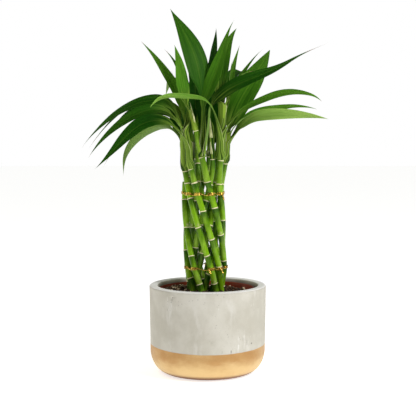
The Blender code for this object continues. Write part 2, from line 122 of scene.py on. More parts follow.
class Link:
    """A socket of a finish: arithmetic on it adds Math nodes, and node() adds any other kind."""

    def __init__(self, tree, socket=None):
        self.tree = tree
        self.socket = socket

    def feed(self, socket):
        """Join this to a socket of a node that is there already."""
        self.tree.links.new(self.socket, socket)

    def node(self, kind, settings, inputs, output=0):
        """Add a node: its settings come first, then the values or links of its sockets."""
        made = self.tree.nodes.new(kind)
        for name, value in settings.items():
            setattr(made, name, value)
        for name, value in inputs.items():
            if isinstance(value, Link):
                value.feed(made.inputs[name])
            else:
                made.inputs[name].default_value = value
        return Link(self.tree, made.outputs[output])

    def maths(self, operation, *values):
        """A Math node on this number and on the values that follow it."""
        return self.node("ShaderNodeMath", {"operation": operation}, dict(enumerate((self, *values))))

    def __add__(self, other):
        return self.maths("ADD", other)

    def __sub__(self, other):
        return self.maths("SUBTRACT", other)

    def __rsub__(self, other):
        return self.node("ShaderNodeMath", {"operation": "SUBTRACT"}, {0: other, 1: self})

    def __mul__(self, other):
        return self.maths("MULTIPLY", other)

    __radd__ = __add__
    __rmul__ = __mul__

    def ease(self, low, high):
        """0 at low and 1 at high, smooth between them; low may be the larger."""
        return self.node("ShaderNodeMapRange", {"interpolation_type": "SMOOTHSTEP"},
                         {"Value": self, "From Min": low, "From Max": high})

    def blend(self, first, second):
        """The first colour at 0 and the second at 1."""
        return self.node("ShaderNodeMix", {"data_type": "RGBA"}, {0: self, 6: first, 7: second}, 2)

    def grain(self, scale, detail=3.0, roughness=0.5, stretch=(1.0, 1.0, 1.0)):
        """Noise at this place, 0.5 on average; a larger stretch is finer along that axis."""
        place = self.node("ShaderNodeVectorMath", {"operation": "MULTIPLY"}, {0: self, 1: stretch})
        return self.node("ShaderNodeTexNoise", {},
                         {"Vector": place, "Scale": scale, "Detail": detail, "Roughness": roughness})

    def place(self):
        """Places in the object's own space, in metres."""
        return self.node("ShaderNodeTexCoord", {}, {}, "Object")

    def part(self, axis):
        """One coordinate of this place."""
        return self.node("ShaderNodeSeparateXYZ", {}, {0: self}, axis)

    def reading(self, name):
        """A number stored on the mesh."""
        return self.node("ShaderNodeAttribute", {"attribute_name": name}, {}, "Fac")


def new_finish(name, **even):
    """A Principled finish; values that are even over the surface go on its own sockets."""
    finish = bpy.data.materials.new(name)
    finish.use_nodes = True
    surface = finish.node_tree.nodes["Principled BSDF"]
    for socket, value in even.items():
        surface.inputs[socket.replace("_", " ")].default_value = value
    return finish, Link(finish.node_tree)


def dress(finish, relief, depth, **uneven):
    """Feed what changes over the surface, and a relief of the given depth as its bump."""
    surface = finish.node_tree.nodes["Principled BSDF"]
    for socket, link in uneven.items():
        link.feed(surface.inputs[socket.replace("_", " ")])
    bump = relief.node("ShaderNodeBump", {}, {"Strength": 1.0, "Distance": depth, "Height": relief})
    bump.feed(surface.inputs["Normal"])
    return finish


def dipped_concrete():
    """Cloudy concrete with pinholes and lime dust, and gold paint below a nearly level line that turns
    brown towards the foot. The pinholes and the inner wall are darkened with painted shade, the lip's top
    is partly rubbed pale and partly a painted highlight, and the gold, paler low down and deeper towards
    its edge, is a painted reflection.
    """
    finish, link = new_finish("dipped concrete")
    place = link.place()
    height = place.part("Z")
    clouds = place.grain(20.0, 5.0, 0.6).ease(0.36, 0.68)
    smears = place.grain(60.0, 5.0, 0.65, (1.0, 1.0, 0.3)).ease(0.53, 0.74)
    sand = place.grain(1400.0, 2.0)
    cells = place.node("ShaderNodeTexVoronoi", {}, {"Vector": place, "Scale": 260.0})
    pores = cells.ease(0.2, 0.08) * place.grain(38.0).ease(0.52, 0.66)
    # The lip's top is paler: partly rubbed wear and partly a painted highlight where light falls on it.
    worn_and_lit_lip = height.ease(RIM_HEIGHT - 0.0014, RIM_HEIGHT - 0.0004)
    stone = (clouds + (sand - 0.5) * 0.5).blend(CONCRETE_CLOUD, CONCRETE)
    stone = (smears * 0.4).blend(stone, CONCRETE_DUST)
    stone = worn_and_lit_lip.blend(stone, CONCRETE_RUBBED_AND_LIT)
    runs = place.grain(420.0, 3.0, 0.6, (1.0, 1.0, 0.28))
    lime = (place.reading("lime") + runs * 1.5 - 1.15).ease(0.0, 0.55)
    stone = (lime * 0.75).blend(stone, CONCRETE_LIME)
    # Painted shade: the pinholes are darkened for the shade inside them.
    stone = (pores * 0.8).blend(stone, CONCRETE_PORE_SHADE)
    ragged = place.grain(800.0, 3.0, 0.6)
    stain = (place.reading("stain") + ragged * 1.2 - 0.95).ease(0.0, 0.45)
    stone = (stain * 0.85).blend(stone, CONCRETE_STAIN)
    # Painted shade: the inner wall is darkened as if it stood in the cup's shade.
    stone = (place.reading("inside") * (0.9 - clouds * 0.3)).blend(stone, CONCRETE_INNER_SHADE)
    across = place.part("X") * (1.0 / RIM_RADIUS)
    line = PAINT_LINE + (place.grain(75.0, 3.0) - 0.5) * 0.001 + across * across * PAINT_TILT
    paint = (height - line).ease(0.0002, -0.0002)
    rubbed = place.grain(34.0, 5.0, 0.65, (1.0, 1.0, 1.8))
    # Painted reflection: the gold is paler low down and deeper towards the paint line, for the bright
    # floor and the dim room it reflects; the rubbed noise is real wear.
    reflection_and_rubbing = height.ease(0.012, 0.03) * 0.7 + (rubbed - 0.5) * 1.3
    gold = reflection_and_rubbing.ease(-0.1, 1.0).blend(GOLD_PALE, GOLD_DEEP)
    # The gold darkens to brown towards the foot.
    gold = height.ease(0.008, 0.0028).blend(gold, GOLD_FOOT_BROWN)
    roughness = 0.82 + paint * (rubbed * 0.25 - 0.48)
    relief = (1 - pores) + sand * (0.22 - 0.17 * paint) + paint * 0.3
    return dress(finish, relief, 0.0004, Base_Color=paint.blend(stone, gold), Metallic=paint * 0.55,
                 Roughness=roughness)


class Skin:
    """Gathers closed surfaces, each a run of rings of points, and makes one mesh of them."""

    def __init__(self):
        self.points = []
        self.faces = []
        self.readings = {}

    def add(self, rings, start=None, end=None, loop=False, **readings):
        """Join a run of rings. start and end are the points that close it, or "flat" to close a
        thin blade by its two faces. Readings hold a number for each point of each ring."""
        first = len(self.points)
        count = len(rings[0])
        for ring in rings:
            self.points.extend(ring)
        for name, rows in readings.items():
            self.readings.setdefault(name, []).extend(number for row in rows for number in row)
        for row in range(len(rings) - 1 + loop):
            low = first + row * count
            high = first + (row + 1) % len(rings) * count
            for side in range(count):
                after = (side + 1) % count
                self.faces.append((low + side, low + after, high + after, high + side))
        for cap, low in ((start, first), (end, first + (len(rings) - 1) * count)):
            if cap == "flat":
                for side in range(count // 2 - 1):
                    back = low + count - side
                    self.faces.append((low + side, low + side + 1, back - 2, back - 1))
            elif cap is not None:
                self.points.append(cap)
                for name in readings:
                    self.readings[name].append(self.readings[name][low])
                for side in range(count):
                    self.faces.append((low + side, low + (side + 1) % count, len(self.points) - 1))
        return self

    def piece(self, name, finish, slot, *nodes):
        """Make the object; it rides on the frame and stands for its CAD nodes."""
        mesh = bpy.data.meshes.new(name)
        mesh.from_pydata(self.points, [], self.faces)
        for label, numbers in self.readings.items():
            mesh.attributes.new(label, "FLOAT", "POINT").data.foreach_set("value", numbers)
        shell = bmesh.new()
        shell.from_mesh(mesh)
        bmesh.ops.recalc_face_normals(shell, faces=shell.faces)
        shell.to_mesh(mesh)
        shell.free()
        mesh.shade_smooth()
        mesh.set_sharp_from_angle(angle=math.radians(SHARP_EDGE))
        mesh.materials.append(finish)
        item = bpy.data.objects.new(name, mesh)
        bpy.context.scene.collection.objects.link(item)
        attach(item, "root")
        if nodes:
            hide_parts(*nodes)
        return item


def smooth_step(value):
    """Ease from 0 to 1."""
    value = min(max(value, 0.0), 1.0)
    return value * value * (3.0 - 2.0 * value)


def around(sides, point_at):
    """What point_at gives at even angles all the way round."""
    return [point_at(math.tau * side / sides) for side in range(sides)]


def out_from(centre_x, radius, azimuth, z):
    """The point at a radius from an upright line, at an azimuth from the front in radians."""
    return Vector((centre_x + radius * math.sin(azimuth), -radius * math.cos(azimuth), z))


def arc(centre_r, centre_z, radius, start, end, steps):
    """Points (r, z) on an arc between two angles in degrees."""
    angles = [math.radians(start + (end - start) * step / steps) for step in range(steps + 1)]
    return [(centre_r + radius * math.cos(angle), centre_z + radius * math.sin(angle))
            for angle in angles]


def straight(start, end, steps):
    """Points between two (r, z) points, without the two themselves."""
    shares = [step / steps for step in range(1, steps)]
    return [(start[0] + (end[0] - start[0]) * share, start[1] + (end[1] - start[1]) * share)
            for share in shares]


def turned(profile, sides, centre_x=0.0, offset=lambda azimuth, z: 0.0, **measures):
    """A skin turned from (r, z) points whose ends lie on the axis. offset moves the wall, and the
    measures give the readings at a place."""
    wall = profile[1:-1]
    rings = [around(sides, lambda azimuth: out_from(centre_x, r + offset(azimuth, z), azimuth, z))
             for r, z in wall]
    readings = {name: [around(sides, lambda azimuth: measure(azimuth, r, z)) for r, z in wall]
                for name, measure in measures.items()}
    ends = [Vector((centre_x, 0.0, z)) for r, z in (profile[0], profile[-1])]
    return Skin().add(rings, *ends, **readings)


def cast_dents():
    """The listed dents, and small ones scattered over the bare concrete."""
    scatter = random.Random(11)
    ranges = [(-180, 180), (PAINT_LINE, RIM_HEIGHT - 0.004), (0.0007, 0.0013), (0.0002, 0.0005)]
    return AIR_DENTS + [tuple(scatter.uniform(*ends) for ends in ranges) for _ in range(SMALL_DENTS)]


def cast_wall(dents):
    """How far the cast wall stands in or out at a place: slow waves, and the dents."""
    def offset(azimuth, z):
        place = out_from(0.0, 1.0, azimuth, z / RIM_RADIUS)
        out = 0.00012 * noise.noise(place * 2.5) + 0.00005 * noise.noise(place * 9.0)
        for bearing, height, radius, depth in dents:
            turn = math.remainder(azimuth - math.radians(bearing), math.tau) * RIM_RADIUS
            away = math.hypot(turn, z - height) / radius
            if away < 2.5:
                out -= depth * math.exp(-away ** 4)
                out += 0.18 * depth * math.exp(-((away - 1.35) / 0.4) ** 2)
        return out
    return offset


def planter_profile():
    """The cup from the middle of its foot, up the outside, over the lip and down the inside."""
    outer = [(FOOT_RADIUS + (WAIST_RADIUS - FOOT_RADIUS) * r, BASE_CORNER * (1.0 + z))
             for r, z in arc(0.0, 0.0, 1.0, -90, 0, 30)]
    lip_height = RIM_HEIGHT - LIP_ROUND
    inner_rim = RIM_RADIUS - PLANTER_WALL
    lip = arc(RIM_RADIUS - LIP_ROUND, lip_height, LIP_ROUND, 0, 90, 8)
    lip += arc(inner_rim + LIP_ROUND, lip_height, LIP_ROUND, 90, 180, 8)
    inner = arc(WAIST_RADIUS - PLANTER_WALL - INNER_CORNER, PLANTER_FLOOR + INNER_CORNER,
                INNER_CORNER, 0, -90, 8)
    foot, bed = (0.0, 0.0), (0.0, PLANTER_FLOOR)
    return ([foot] + straight(foot, outer[0], 6) + outer + straight(outer[-1], lip[0], 62) + lip
            + straight(lip[-1], inner[0], 30) + inner + straight(inner[-1], bed, 4) + [bed])


def marked(marks):
    """How strongly a place on the outside is marked."""
    def strength_at(azimuth, r, z):
        if r < RIM_RADIUS - PLANTER_WALL / 2.0:
            return 0.0
        most = 0.0
        for bearing, height, half_width, half_height, strength in marks:
            turn = math.remainder(azimuth - math.radians(bearing), math.tau) * RIM_RADIUS
            away = math.hypot(turn / half_width, (z - height) / half_height)
            most = max(most, strength * smooth_step(1.6 - 0.8 * away))
        return most
    return strength_at


def painted_inside_shade(azimuth, r, z):
    """1 on the inner wall, from a little below the lip, where painted shade darkens it."""
    inner = smooth_step((RIM_RADIUS - PLANTER_WALL + 0.0008 - r) / 0.0005)
    return inner * smooth_step((RIM_HEIGHT - 0.0015 - z) / 0.004)


planter = turned(planter_profile(), PLANTER_SIDES, 0.0, cast_wall(cast_dents()), lime=marked(LIME_RUNS),
                 stain=marked(STAINS), inside=painted_inside_shade)
planter.piece("planter", dipped_concrete(), "concrete", "planter_pot")


# Nursery pot --------------------------------------------------------------
# The thin terracotta coloured grow pot that the plant came in. It is moulded plastic, tapered,
# with a band round its rim and drain holes in its base, and it stands loose inside the planter.

NURSERY_LOW, NURSERY_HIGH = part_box("nursery_pot")
NURSERY_X = (NURSERY_LOW.x + NURSERY_HIGH.x) / 2.0
NURSERY_RIM = NURSERY_HIGH.x - NURSERY_X
NURSERY_BAND = 0.0085
NURSERY_NECK = 0.057
NURSERY_FOOT = 0.044
NURSERY_WALL = 0.0013
NURSERY_SIDES = 180
DRAIN_HOLES = 6
DRAIN_RADIUS = 0.004
DRAIN_CIRCLE = 0.028
DRAIN_SIDES = 24
SIDE_AXIS = Vector((1.0, 0.0, 0.0))
DEPTH_AXIS = Vector((0.0, 1.0, 0.0))
PLASTIC_RED = (0.31, 0.045, 0.012, 1.0)
PLASTIC_DUSTY = (0.34, 0.095, 0.05, 1.0)


def moulded_plastic():
    """Matt terracotta plastic with a faint film of dried water and soil."""
    finish, link = new_finish("terracotta plastic", Specular_IOR_Level=0.3)
    film = link.place().grain(95.0, 5.0, 0.65)
    colour = (film.ease(0.52, 0.8) * 0.6).blend(PLASTIC_RED, PLASTIC_DUSTY)
    return dress(finish, film, 0.0001, Base_Color=colour, Roughness=film * 0.25 + 0.34)


def nursery_profile():
    """The pot from under its base, up the outside, over the rolled band and down the inside."""
    base, top, wall = NURSERY_LOW.z, NURSERY_HIGH.z, NURSERY_WALL
    band = top - NURSERY_BAND
    foot, neck = (NURSERY_FOOT, base + 0.001), (NURSERY_NECK, band)
    outside = [(NURSERY_FOOT - 0.001, base), foot] + straight(foot, neck, 12)
    outside += [neck, (NURSERY_RIM - 0.0003, band), (NURSERY_RIM, band + 0.0003)]
    rim = arc(NURSERY_RIM - wall / 2.0, top - wall / 2.0, wall / 2.0, 0, 180, 8)
    neck, foot = (NURSERY_NECK - wall, band + wall), (NURSERY_FOOT - wall, base + wall)
    inside = [(NURSERY_RIM - wall, band + wall), neck] + straight(neck, foot, 12) + [foot]
    return [(0.0, base)] + outside + rim + inside + [(0.0, base + wall)]


def hoop(centre, across, other, radius, sides):
    """A ring of points in the plane of two vectors."""
    return around(sides, lambda angle: centre + (across * math.cos(angle)
                                                 + other * math.sin(angle)) * radius)


def drill_base(pot):
    """Cut the drain holes through the pot's base."""
    holes = Skin()
    for hole in range(DRAIN_HOLES):
        turn = math.tau * hole / DRAIN_HOLES
        ends = [Vector((NURSERY_X + DRAIN_CIRCLE * math.cos(turn), DRAIN_CIRCLE * math.sin(turn), z))
                for z in (NURSERY_LOW.z - NURSERY_WALL, NURSERY_LOW.z + 2.0 * NURSERY_WALL)]
        holes.add([hoop(end, SIDE_AXIS, DEPTH_AXIS, DRAIN_RADIUS, DRAIN_SIDES) for end in ends], *ends)
    drill = holes.piece("drill", pot.data.materials[0], "terracotta_plastic")
    cut = pot.modifiers.new("drain holes", "BOOLEAN")
    cut.operation = "DIFFERENCE"
    cut.object = drill
    view = bpy.context.evaluated_depsgraph_get()
    drilled = bpy.data.meshes.new_from_object(pot.evaluated_get(view))
    pot.modifiers.clear()
    pot.data = drilled
    bpy.data.objects.remove(drill)


grow_pot = turned(nursery_profile(), NURSERY_SIDES, NURSERY_X)
drill_base(grow_pot.piece("grow_pot", moulded_plastic(), "terracotta_plastic", "nursery_pot"))


# Potting mix --------------------------------------------------------------
# Dark peat that fills the grow pot, heaped a little on the left, with bark chips and pale grit
# lying on it. The peat is one plug with a lumpy top; the chips and the grit are loose pieces.

SOIL_LOW, SOIL_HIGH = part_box("potting_soil")
SOIL_GAP = 0.0004
SOIL_RADIUS = NURSERY_NECK - NURSERY_WALL - SOIL_GAP
SOIL_EDGE = 0.101
SOIL_SIDES = 150
SOIL_STEPS = 56
BIT_SIDES = 7
SOIL_HEAP = Vector((-0.043, 0.01))
HEAP_SPREAD = 0.017
HEAP_RISE = 0.004
PEAT_DARK = (0.006, 0.004, 0.002, 1.0)
PEAT_BROWN = (0.05, 0.025, 0.011, 1.0)
BARK_DARK = (0.018, 0.008, 0.004, 1.0)
BARK_PALE = (0.16, 0.075, 0.03, 1.0)
GRIT_PALE = (0.95, 0.8, 0.54, 1.0)
GRIT_BROWN = (0.4, 0.29, 0.18, 1.0)


def crumbly(name, dark, pale, scale):
    """A dry, rough finish between two colours."""
    finish, link = new_finish(name, Roughness=0.95)
    crumbs = link.place().grain(scale, 5.0, 0.7)
    return dress(finish, crumbs, 0.0008, Base_Color=crumbs.ease(0.38, 0.66).blend(dark, pale))


def soil_height(x, y):
    """Height of the peat's top."""
    place = Vector((x, y, 0.0))
    away = (Vector((x, y)) - SOIL_HEAP).length / HEAP_SPREAD
    dome = (SOIL_HIGH.z - SOIL_EDGE) * smooth_step((SOIL_RADIUS - place.length) / 0.02)
    lumps = 0.001 * noise.noise(place * 110.0) + 0.0006 * noise.noise(place * 330.0)
    return SOIL_EDGE - 0.0006 + dome + HEAP_RISE * math.exp(-away * away) + lumps


def soil_plug():
    """The plug from under its base, up its wall, and over its lumpy top to the middle."""
    def ring(r, height_at):
        def edge(angle):
            x, y = NURSERY_X + r * math.cos(angle), r * math.sin(angle)
            return Vector((x, y, height_at(x, y)))
        return around(SOIL_SIDES, edge)

    rings = [ring(NURSERY_FOOT - NURSERY_WALL - SOIL_GAP, lambda x, y: SOIL_LOW.z),
             ring(SOIL_RADIUS, lambda x, y: NURSERY_HIGH.z - NURSERY_BAND)]
    rings += [ring(SOIL_RADIUS * (1.0 - step / SOIL_STEPS), soil_height) for step in range(SOIL_STEPS)]
    return Skin().add(rings, Vector((NURSERY_X, 0.0, SOIL_LOW.z)),
                      Vector((NURSERY_X, 0.0, soil_height(NURSERY_X, 0.0))))


def loose_bits(seed, count, smallest, largest, flatness, heaped):
    """Broken bits lying on the peat; a share of them lies round the heap."""
    scatter = random.Random(seed)
    skin = Skin()
    while count:
        if scatter.random() < heaped:
            x = SOIL_HEAP.x + scatter.gauss(0.0, HEAP_SPREAD * 0.8)
            y = SOIL_HEAP.y + scatter.gauss(0.0, HEAP_SPREAD * 0.8)
        else:
            x = NURSERY_X + scatter.uniform(-SOIL_RADIUS, SOIL_RADIUS)
            y = scatter.uniform(-SOIL_RADIUS, SOIL_RADIUS)
        size = scatter.uniform(smallest, largest)
        if math.hypot(x - NURSERY_X, y) > SOIL_RADIUS - size * 0.6:
            continue
        count -= 1
        middle = Vector((x, y, soil_height(x, y) + size * flatness * 0.25))
        length = Vector([scatter.gauss(0, spread) for spread in (1, 1, 0.35)]).normalized()
        width = length.cross(Vector((scatter.gauss(0, 0.3), scatter.gauss(0, 0.3), 1.0))).normalized()
        depth = length.cross(width)
        rings = []
        for share, girth in ((-0.42, 0.6), (-0.1, 1.0), (0.25, 0.9), (0.45, 0.5)):
            def corner(angle):
                """A point of the bit's rough outline."""
                reach = size * 0.5 * girth * scatter.uniform(0.65, 1.1)
                return (middle + length * size * share + width * math.cos(angle) * reach * 0.7
                        + depth * math.sin(angle) * reach * flatness)
            rings.append(around(BIT_SIDES, corner))
        skin.add(rings, middle - length * size * 0.5, middle + length * size * 0.5)
    return skin


soil_plug().piece("peat", crumbly("peat", PEAT_DARK, PEAT_BROWN, 420.0), "potting_mix", "potting_soil")
bark = loose_bits(21, 420, 0.0022, 0.0068, 0.38, 0.35)
bark.piece("bark_chips", crumbly("bark", BARK_DARK, BARK_PALE, 260.0), "potting_mix")
grit = loose_bits(22, 110, 0.0016, 0.0046, 0.75, 0.72)
grit.piece("pale_grit", crumbly("grit", GRIT_BROWN, GRIT_PALE, 700.0), "potting_mix")


# Canes --------------------------------------------------------------------
# Rooted lengths of lucky bamboo cane. Nine stand in an outer ring and wind one way round six that
# wind the other way. Each is a row of joints: a cream leaf scar runs round every joint, and the
# skin darkens upwards from one scar to the next. The tops are cut flat.

CANE_RADIUS = 0.00375
CANE_SIDES = 36
CANE_FOOT = 0.072
COLUMN_X = -0.0026              # the column's centre at the lower tie
COLUMN_LEAN = -0.032            # sideways run for each metre of height
TIE_LOWER = 0.133
NECK_SPAN = 0.025
SCAR_HALF = 0.0006             # half the height of a leaf scar
SCAR_RISE = 0.00036
SCAR_SLANT = 0.00035
BUD_RISE = 0.00045
TOP_MARGIN = 0.0036             # no joint stands nearer than this below a cut top
CUT_DIP = 0.0004
RING_STEP = 0.003
RINGS_AT_JOINT = (0.0, 0.0002, 0.00045, 0.0007, 0.001, 0.0015, 0.0022)
STEM_READINGS = ("share", "scar", "bud", "tone", "cut")
UP = Vector((0.0, 0.0, 1.0))

CANE_BRIGHT = (0.2, 0.42, 0.006, 1.0)
CANE_DEEP = (0.014, 0.08, 0.002, 1.0)
CANE_OLD = (0.2, 0.3, 0.04, 1.0)
SCAR_CREAM = (0.86, 0.78, 0.5, 1.0)
SCAR_BROWN = (0.22, 0.13, 0.05, 1.0)
# Painted highlight colour for the streaks along the canes.
CANE_PAINTED_HIGHLIGHT = (0.42, 0.6, 0.1, 1.0)
CUT_FACE = (0.5, 0.4, 0.2, 1.0)

# A ring's radius, how much narrower it is at the soil, and its twist in degrees for each metre
Winding = namedtuple("Winding", "radius neck twist")
OUTER = Winding(0.0233, 0.003, -690.0)
INNER = Winding(0.0147, 0.0038, 1150.0)

# Azimuth at the lower tie, height of the first joint, joint spacing, height of the top, and tone
# from dark to bright
Cane = namedtuple("Cane", "azimuth first_joint spacing top tone")
OUTER_CANES = [
    Cane(-108, 0.114, 0.033, 0.238, 0.3), Cane(-73, 0.12, 0.034, 0.237, 0.4),
    Cane(-36, 0.1135, 0.0345, 0.2385, 0.6), Cane(17, 0.1145, 0.035, 0.236, 0.7),
    Cane(47, 0.1355, 0.0345, 0.2385, 0.6), Cane(88, 0.108, 0.0335, 0.24, 0.4),
    Cane(130, 0.126, 0.033, 0.2365, 0.4), Cane(172, 0.118, 0.034, 0.236, 0.5),
    Cane(-148, 0.131, 0.033, 0.237, 0.4),
]
INNER_CANES = [
    Cane(-33, 0.1175, 0.0345, 0.233, 0.3), Cane(-82, 0.1295, 0.029, 0.236, 0.3),
    Cane(24, 0.1255, 0.032, 0.244, 0.2), Cane(84, 0.112, 0.033, 0.242, 0.3),
    Cane(144, 0.123, 0.033, 0.246, 0.3), Cane(-146, 0.116, 0.034, 0.24, 0.3),
]
CANES = [(cane, OUTER) for cane in OUTER_CANES] + [(cane, INNER) for cane in INNER_CANES]


def cane_skin(name, bright, deep):
    """Smooth waxy cane: bright just above each scar and deep green under the next, with pale painted
    highlight streaks along it.
    """
    finish, link = new_finish(name, Specular_IOR_Level=0.45, Specular_Tint=(0.8, 1.0, 0.35, 1.0))
    place = link.place()
    blotch = place.grain(120.0, 4.0, 0.6)
    fibres = place.grain(70.0, 3.0, 0.6, (9.0, 9.0, 1.0))
    share, scar, bud, tone, cut = map(link.reading, STEM_READINGS)
    depth = share * 1.2 - tone * 0.7 + (blotch - 0.5) * 1.1 + (fibres - 0.5) * 0.9 + 0.22
    green = depth.ease(0.0, 1.15).blend(bright, deep)
    green = (blotch.ease(0.6, 0.78) * 0.35).blend(green, CANE_OLD)
    # Painted highlight: pale streaks along the cane stand in for the gloss of a soft light.
    highlight_streaks = place.grain(75.0, 3.0, 0.5, (2.6, 2.6, 0.45)).ease(0.5, 0.7)
    green = (highlight_streaks * 0.5 * (1 - share * 0.9)).blend(green, CANE_PAINTED_HIGHLIGHT)
    mark = blotch.ease(0.35, 0.62).blend(SCAR_CREAM, SCAR_BROWN)
    colour = scar.ease(0.15, 0.75).blend(green, SCAR_CREAM)
    colour = cut.blend((bud * 0.8).blend(colour, mark), CUT_FACE)
    roughness = 0.28 + scar * 0.35 + cut * 0.4 + (blotch - 0.5) * 0.15
    return dress(finish, fibres, 0.00012, Base_Color=colour, Roughness=roughness)


def column_centre(z):
    """The column's centre line, which leans a little to -X as it rises."""
    return COLUMN_X + COLUMN_LEAN * (z - TIE_LOWER)


def cane_axis(cane, winding, z):
    """Centre of a cane at a height: it winds above the soil and runs straight down in it."""
    radius = winding.radius - winding.neck * smooth_step((TIE_LOWER - z) / NECK_SPAN)
    height = max(z, SOIL_HIGH.z)
    angle = math.radians(cane.azimuth + winding.twist * (height - TIE_LOWER))
    return out_from(column_centre(height), radius, angle, z)


def cane_joints(cane):
    """Heights of the joints, from below the cane's foot to above its top."""
    joint = cane.first_joint
    while joint > CANE_FOOT:
        joint -= cane.spacing
    joints = [joint]
    while joints[-1] < cane.top - TOP_MARGIN:
        joints.append(joints[-1] + cane.spacing)
    joints[-1] = max(joints[-1], cane.top)
    return joints


def joint_heights(low, high, joints):
    """Heights of the rings of points: close together at each joint, and wider between."""
    heights = {low, high}
    step = low
    while step < high:
        heights.add(step)
        step += RING_STEP
    for joint in joints:
        for away in RINGS_AT_JOINT:
            heights.update(z for z in (joint - away, joint + away) if low < z < high)
    return sorted(heights)


def square_to(along, reference):
    """Two unit vectors square to a direction; the first is also square to the reference."""
    along = along.normalized()
    across = reference.cross(along).normalized()
    return across, along.cross(across)


def stem_rings(axis, heights, joints, radius_at, seed, tone):
    """Rings round an upright stem with its joints, and the readings that its finish uses."""
    scatter = random.Random(seed)
    phases = [scatter.uniform(0.0, math.tau) for joint in joints]
    bud_side = scatter.uniform(0.0, math.tau)
    rings = []
    readings = {name: [] for name in STEM_READINGS}
    for z in heights:
        centre = axis(z)
        across, other = square_to(axis(z + 0.0005) - axis(z - 0.0005), DEPTH_AXIS)
        below = max([0] + [index for index, joint in enumerate(joints) if joint <= z])
        span = joints[min(below + 1, len(joints) - 1)] - joints[below]
        share = min(max((z - joints[below]) / max(span, 0.001), 0.0), 1.0)
        nearest = min(range(len(joints)), key=lambda index: abs(joints[index] - z))
        body = radius_at(z) * (0.965 + 0.035 * share ** 1.5)

        def surface(angle):
            """A point of this ring, and its readings."""
            away = z - joints[nearest] - SCAR_SLANT * math.sin(angle + phases[nearest])
            scar = math.exp(-(away / SCAR_HALF) ** 4)
            shoulder = math.exp(-((away + 0.0012) / 0.001) ** 2)
            turn = math.remainder(angle - bud_side - math.pi * nearest, math.tau)
            bud = math.exp(-(turn / 0.42) ** 2 - ((away - 0.003) / 0.0013) ** 2)
            uneven = 1.0 + 0.018 * noise.noise(centre * 90.0 + across * math.cos(angle))
            radius = body * uneven + SCAR_RISE * scar + 0.0001 * shoulder + BUD_RISE * bud
            point = centre + (across * math.cos(angle) + other * math.sin(angle)) * radius
            return point, share, scar, bud, tone, 0.0

        points, *rows = zip(*around(CANE_SIDES, surface))
        rings.append(points)
        for name, row in zip(STEM_READINGS, rows):
            readings[name].append(row)
    return rings, readings


def close_cut(rings, readings, centre, dip):
    """Round the rim of a flat cut end, and add the ring of its face."""
    rim = rings[-1]
    for share, rise, cut in ((0.93, 0.0001, 0.4), (0.86, 0.00012, 1.0), (0.35, -dip, 1.0)):
        rings.append([centre + (point - centre) * share + UP * rise for point in rim])
        for rows in readings.values():
            rows.append(rows[-1])
        readings["cut"][-1] = [cut] * CANE_SIDES


def add_canes(finish):
    for number, (cane, winding) in enumerate(CANES, 1):
        joints = cane_joints(cane)
        heights = joint_heights(CANE_FOOT, cane.top, joints)
        rings, readings = stem_rings(lambda z: cane_axis(cane, winding, z), heights, joints,
                                     lambda z: CANE_RADIUS, number, cane.tone)
        top = cane_axis(cane, winding, cane.top)
        close_cut(rings, readings, top, CUT_DIP)
        skin = Skin().add(rings, cane_axis(cane, winding, CANE_FOOT), top - UP * CUT_DIP, **readings)
        skin.piece(f"cane_{number}_stem", finish, "cane", f"cane_{number:02d}")


add_canes(cane_skin("cane", CANE_BRIGHT, CANE_DEEP))


# Tie wires ----------------------------------------------------------------
# Thin gold lacquered wire that binds the outer canes into a column, once near the soil and once
# near the top. It takes two turns round each cane and sags a little on its way to the next.

TIE_UPPER = 0.2255
WIRE_RADIUS = 0.00055
WRAP_RISE = 0.0013              # rise of one turn round a cane
WRAP_TURNS = 2
WRAP_STEPS = 44
LEAD_ANGLE = 62.0               # degrees from a cane's outermost point to where the wire meets it
LEAD_STEPS = 6
WIRE_SAG = 0.0011
WIRE_SIDES = 8
TWIST_STEPS = 26
TWIST_TURNS = 3
TWIST_SWING = 0.1              # radians that a twisted end drifts round the column
WIRE_GOLD = (1.0, 0.7, 0.13, 1.0)
WIRE_WORN_AND_SHADED = (0.22, 0.1, 0.02, 1.0)


def lacquered_wire():
    """Bright gold lacquer, brown in places: partly wear and partly painted shade."""
    finish, link = new_finish("gold wire", Metallic=0.92)
    # Brown patches: partly wear and partly painted shade between the bright beads.
    wear_and_shade = link.place().grain(330.0, 2.0).ease(0.51, 0.61)
    return dress(finish, wear_and_shade, 0.00005, Base_Color=wear_and_shade.blend(WIRE_GOLD, WIRE_WORN_AND_SHADED),
                 Roughness=wear_and_shade * 0.25 + 0.2)


def wire_rings(path, reference):
    """Rings of wire round a closed path."""
    rings = []
    for index, centre in enumerate(path):
        across, other = square_to(path[(index + 1) % len(path)] - path[index - 1], reference)
        rings.append(hoop(centre, across, other, WIRE_RADIUS, WIRE_SIDES))
    return rings


def tie_path(height):
    """The wire's centre line round all the outer canes at a height."""
    bearings = sorted((cane.azimuth + OUTER.twist * (height - TIE_LOWER)) % 360.0 for cane in OUTER_CANES)
    grip = CANE_RADIUS + WIRE_RADIUS * 0.9
    turns = WRAP_TURNS + 2.0 * LEAD_ANGLE / 360.0
    wraps = []
    for bearing in bearings:
        outward = math.radians(bearing)
        centre = out_from(column_centre(height), OUTER.radius, outward, height)
        wrap = []
        for step in range(WRAP_STEPS + 1):
            share = step / WRAP_STEPS
            angle = outward + math.radians(-LEAD_ANGLE) + math.tau * turns * share
            wrap.append(centre + out_from(0.0, grip, angle, WRAP_RISE * turns * (share - 0.5)))
        wraps.append(wrap)
    path = []
    for wrap, following in zip(wraps, wraps[1:] + wraps[:1]):
        path += wrap
        for step in range(1, LEAD_STEPS):
            share = step / LEAD_STEPS
            sag = WIRE_SAG * math.sin(math.pi * share)
            path.append(wrap[-1].lerp(following[0], share) - UP * sag)
    return path


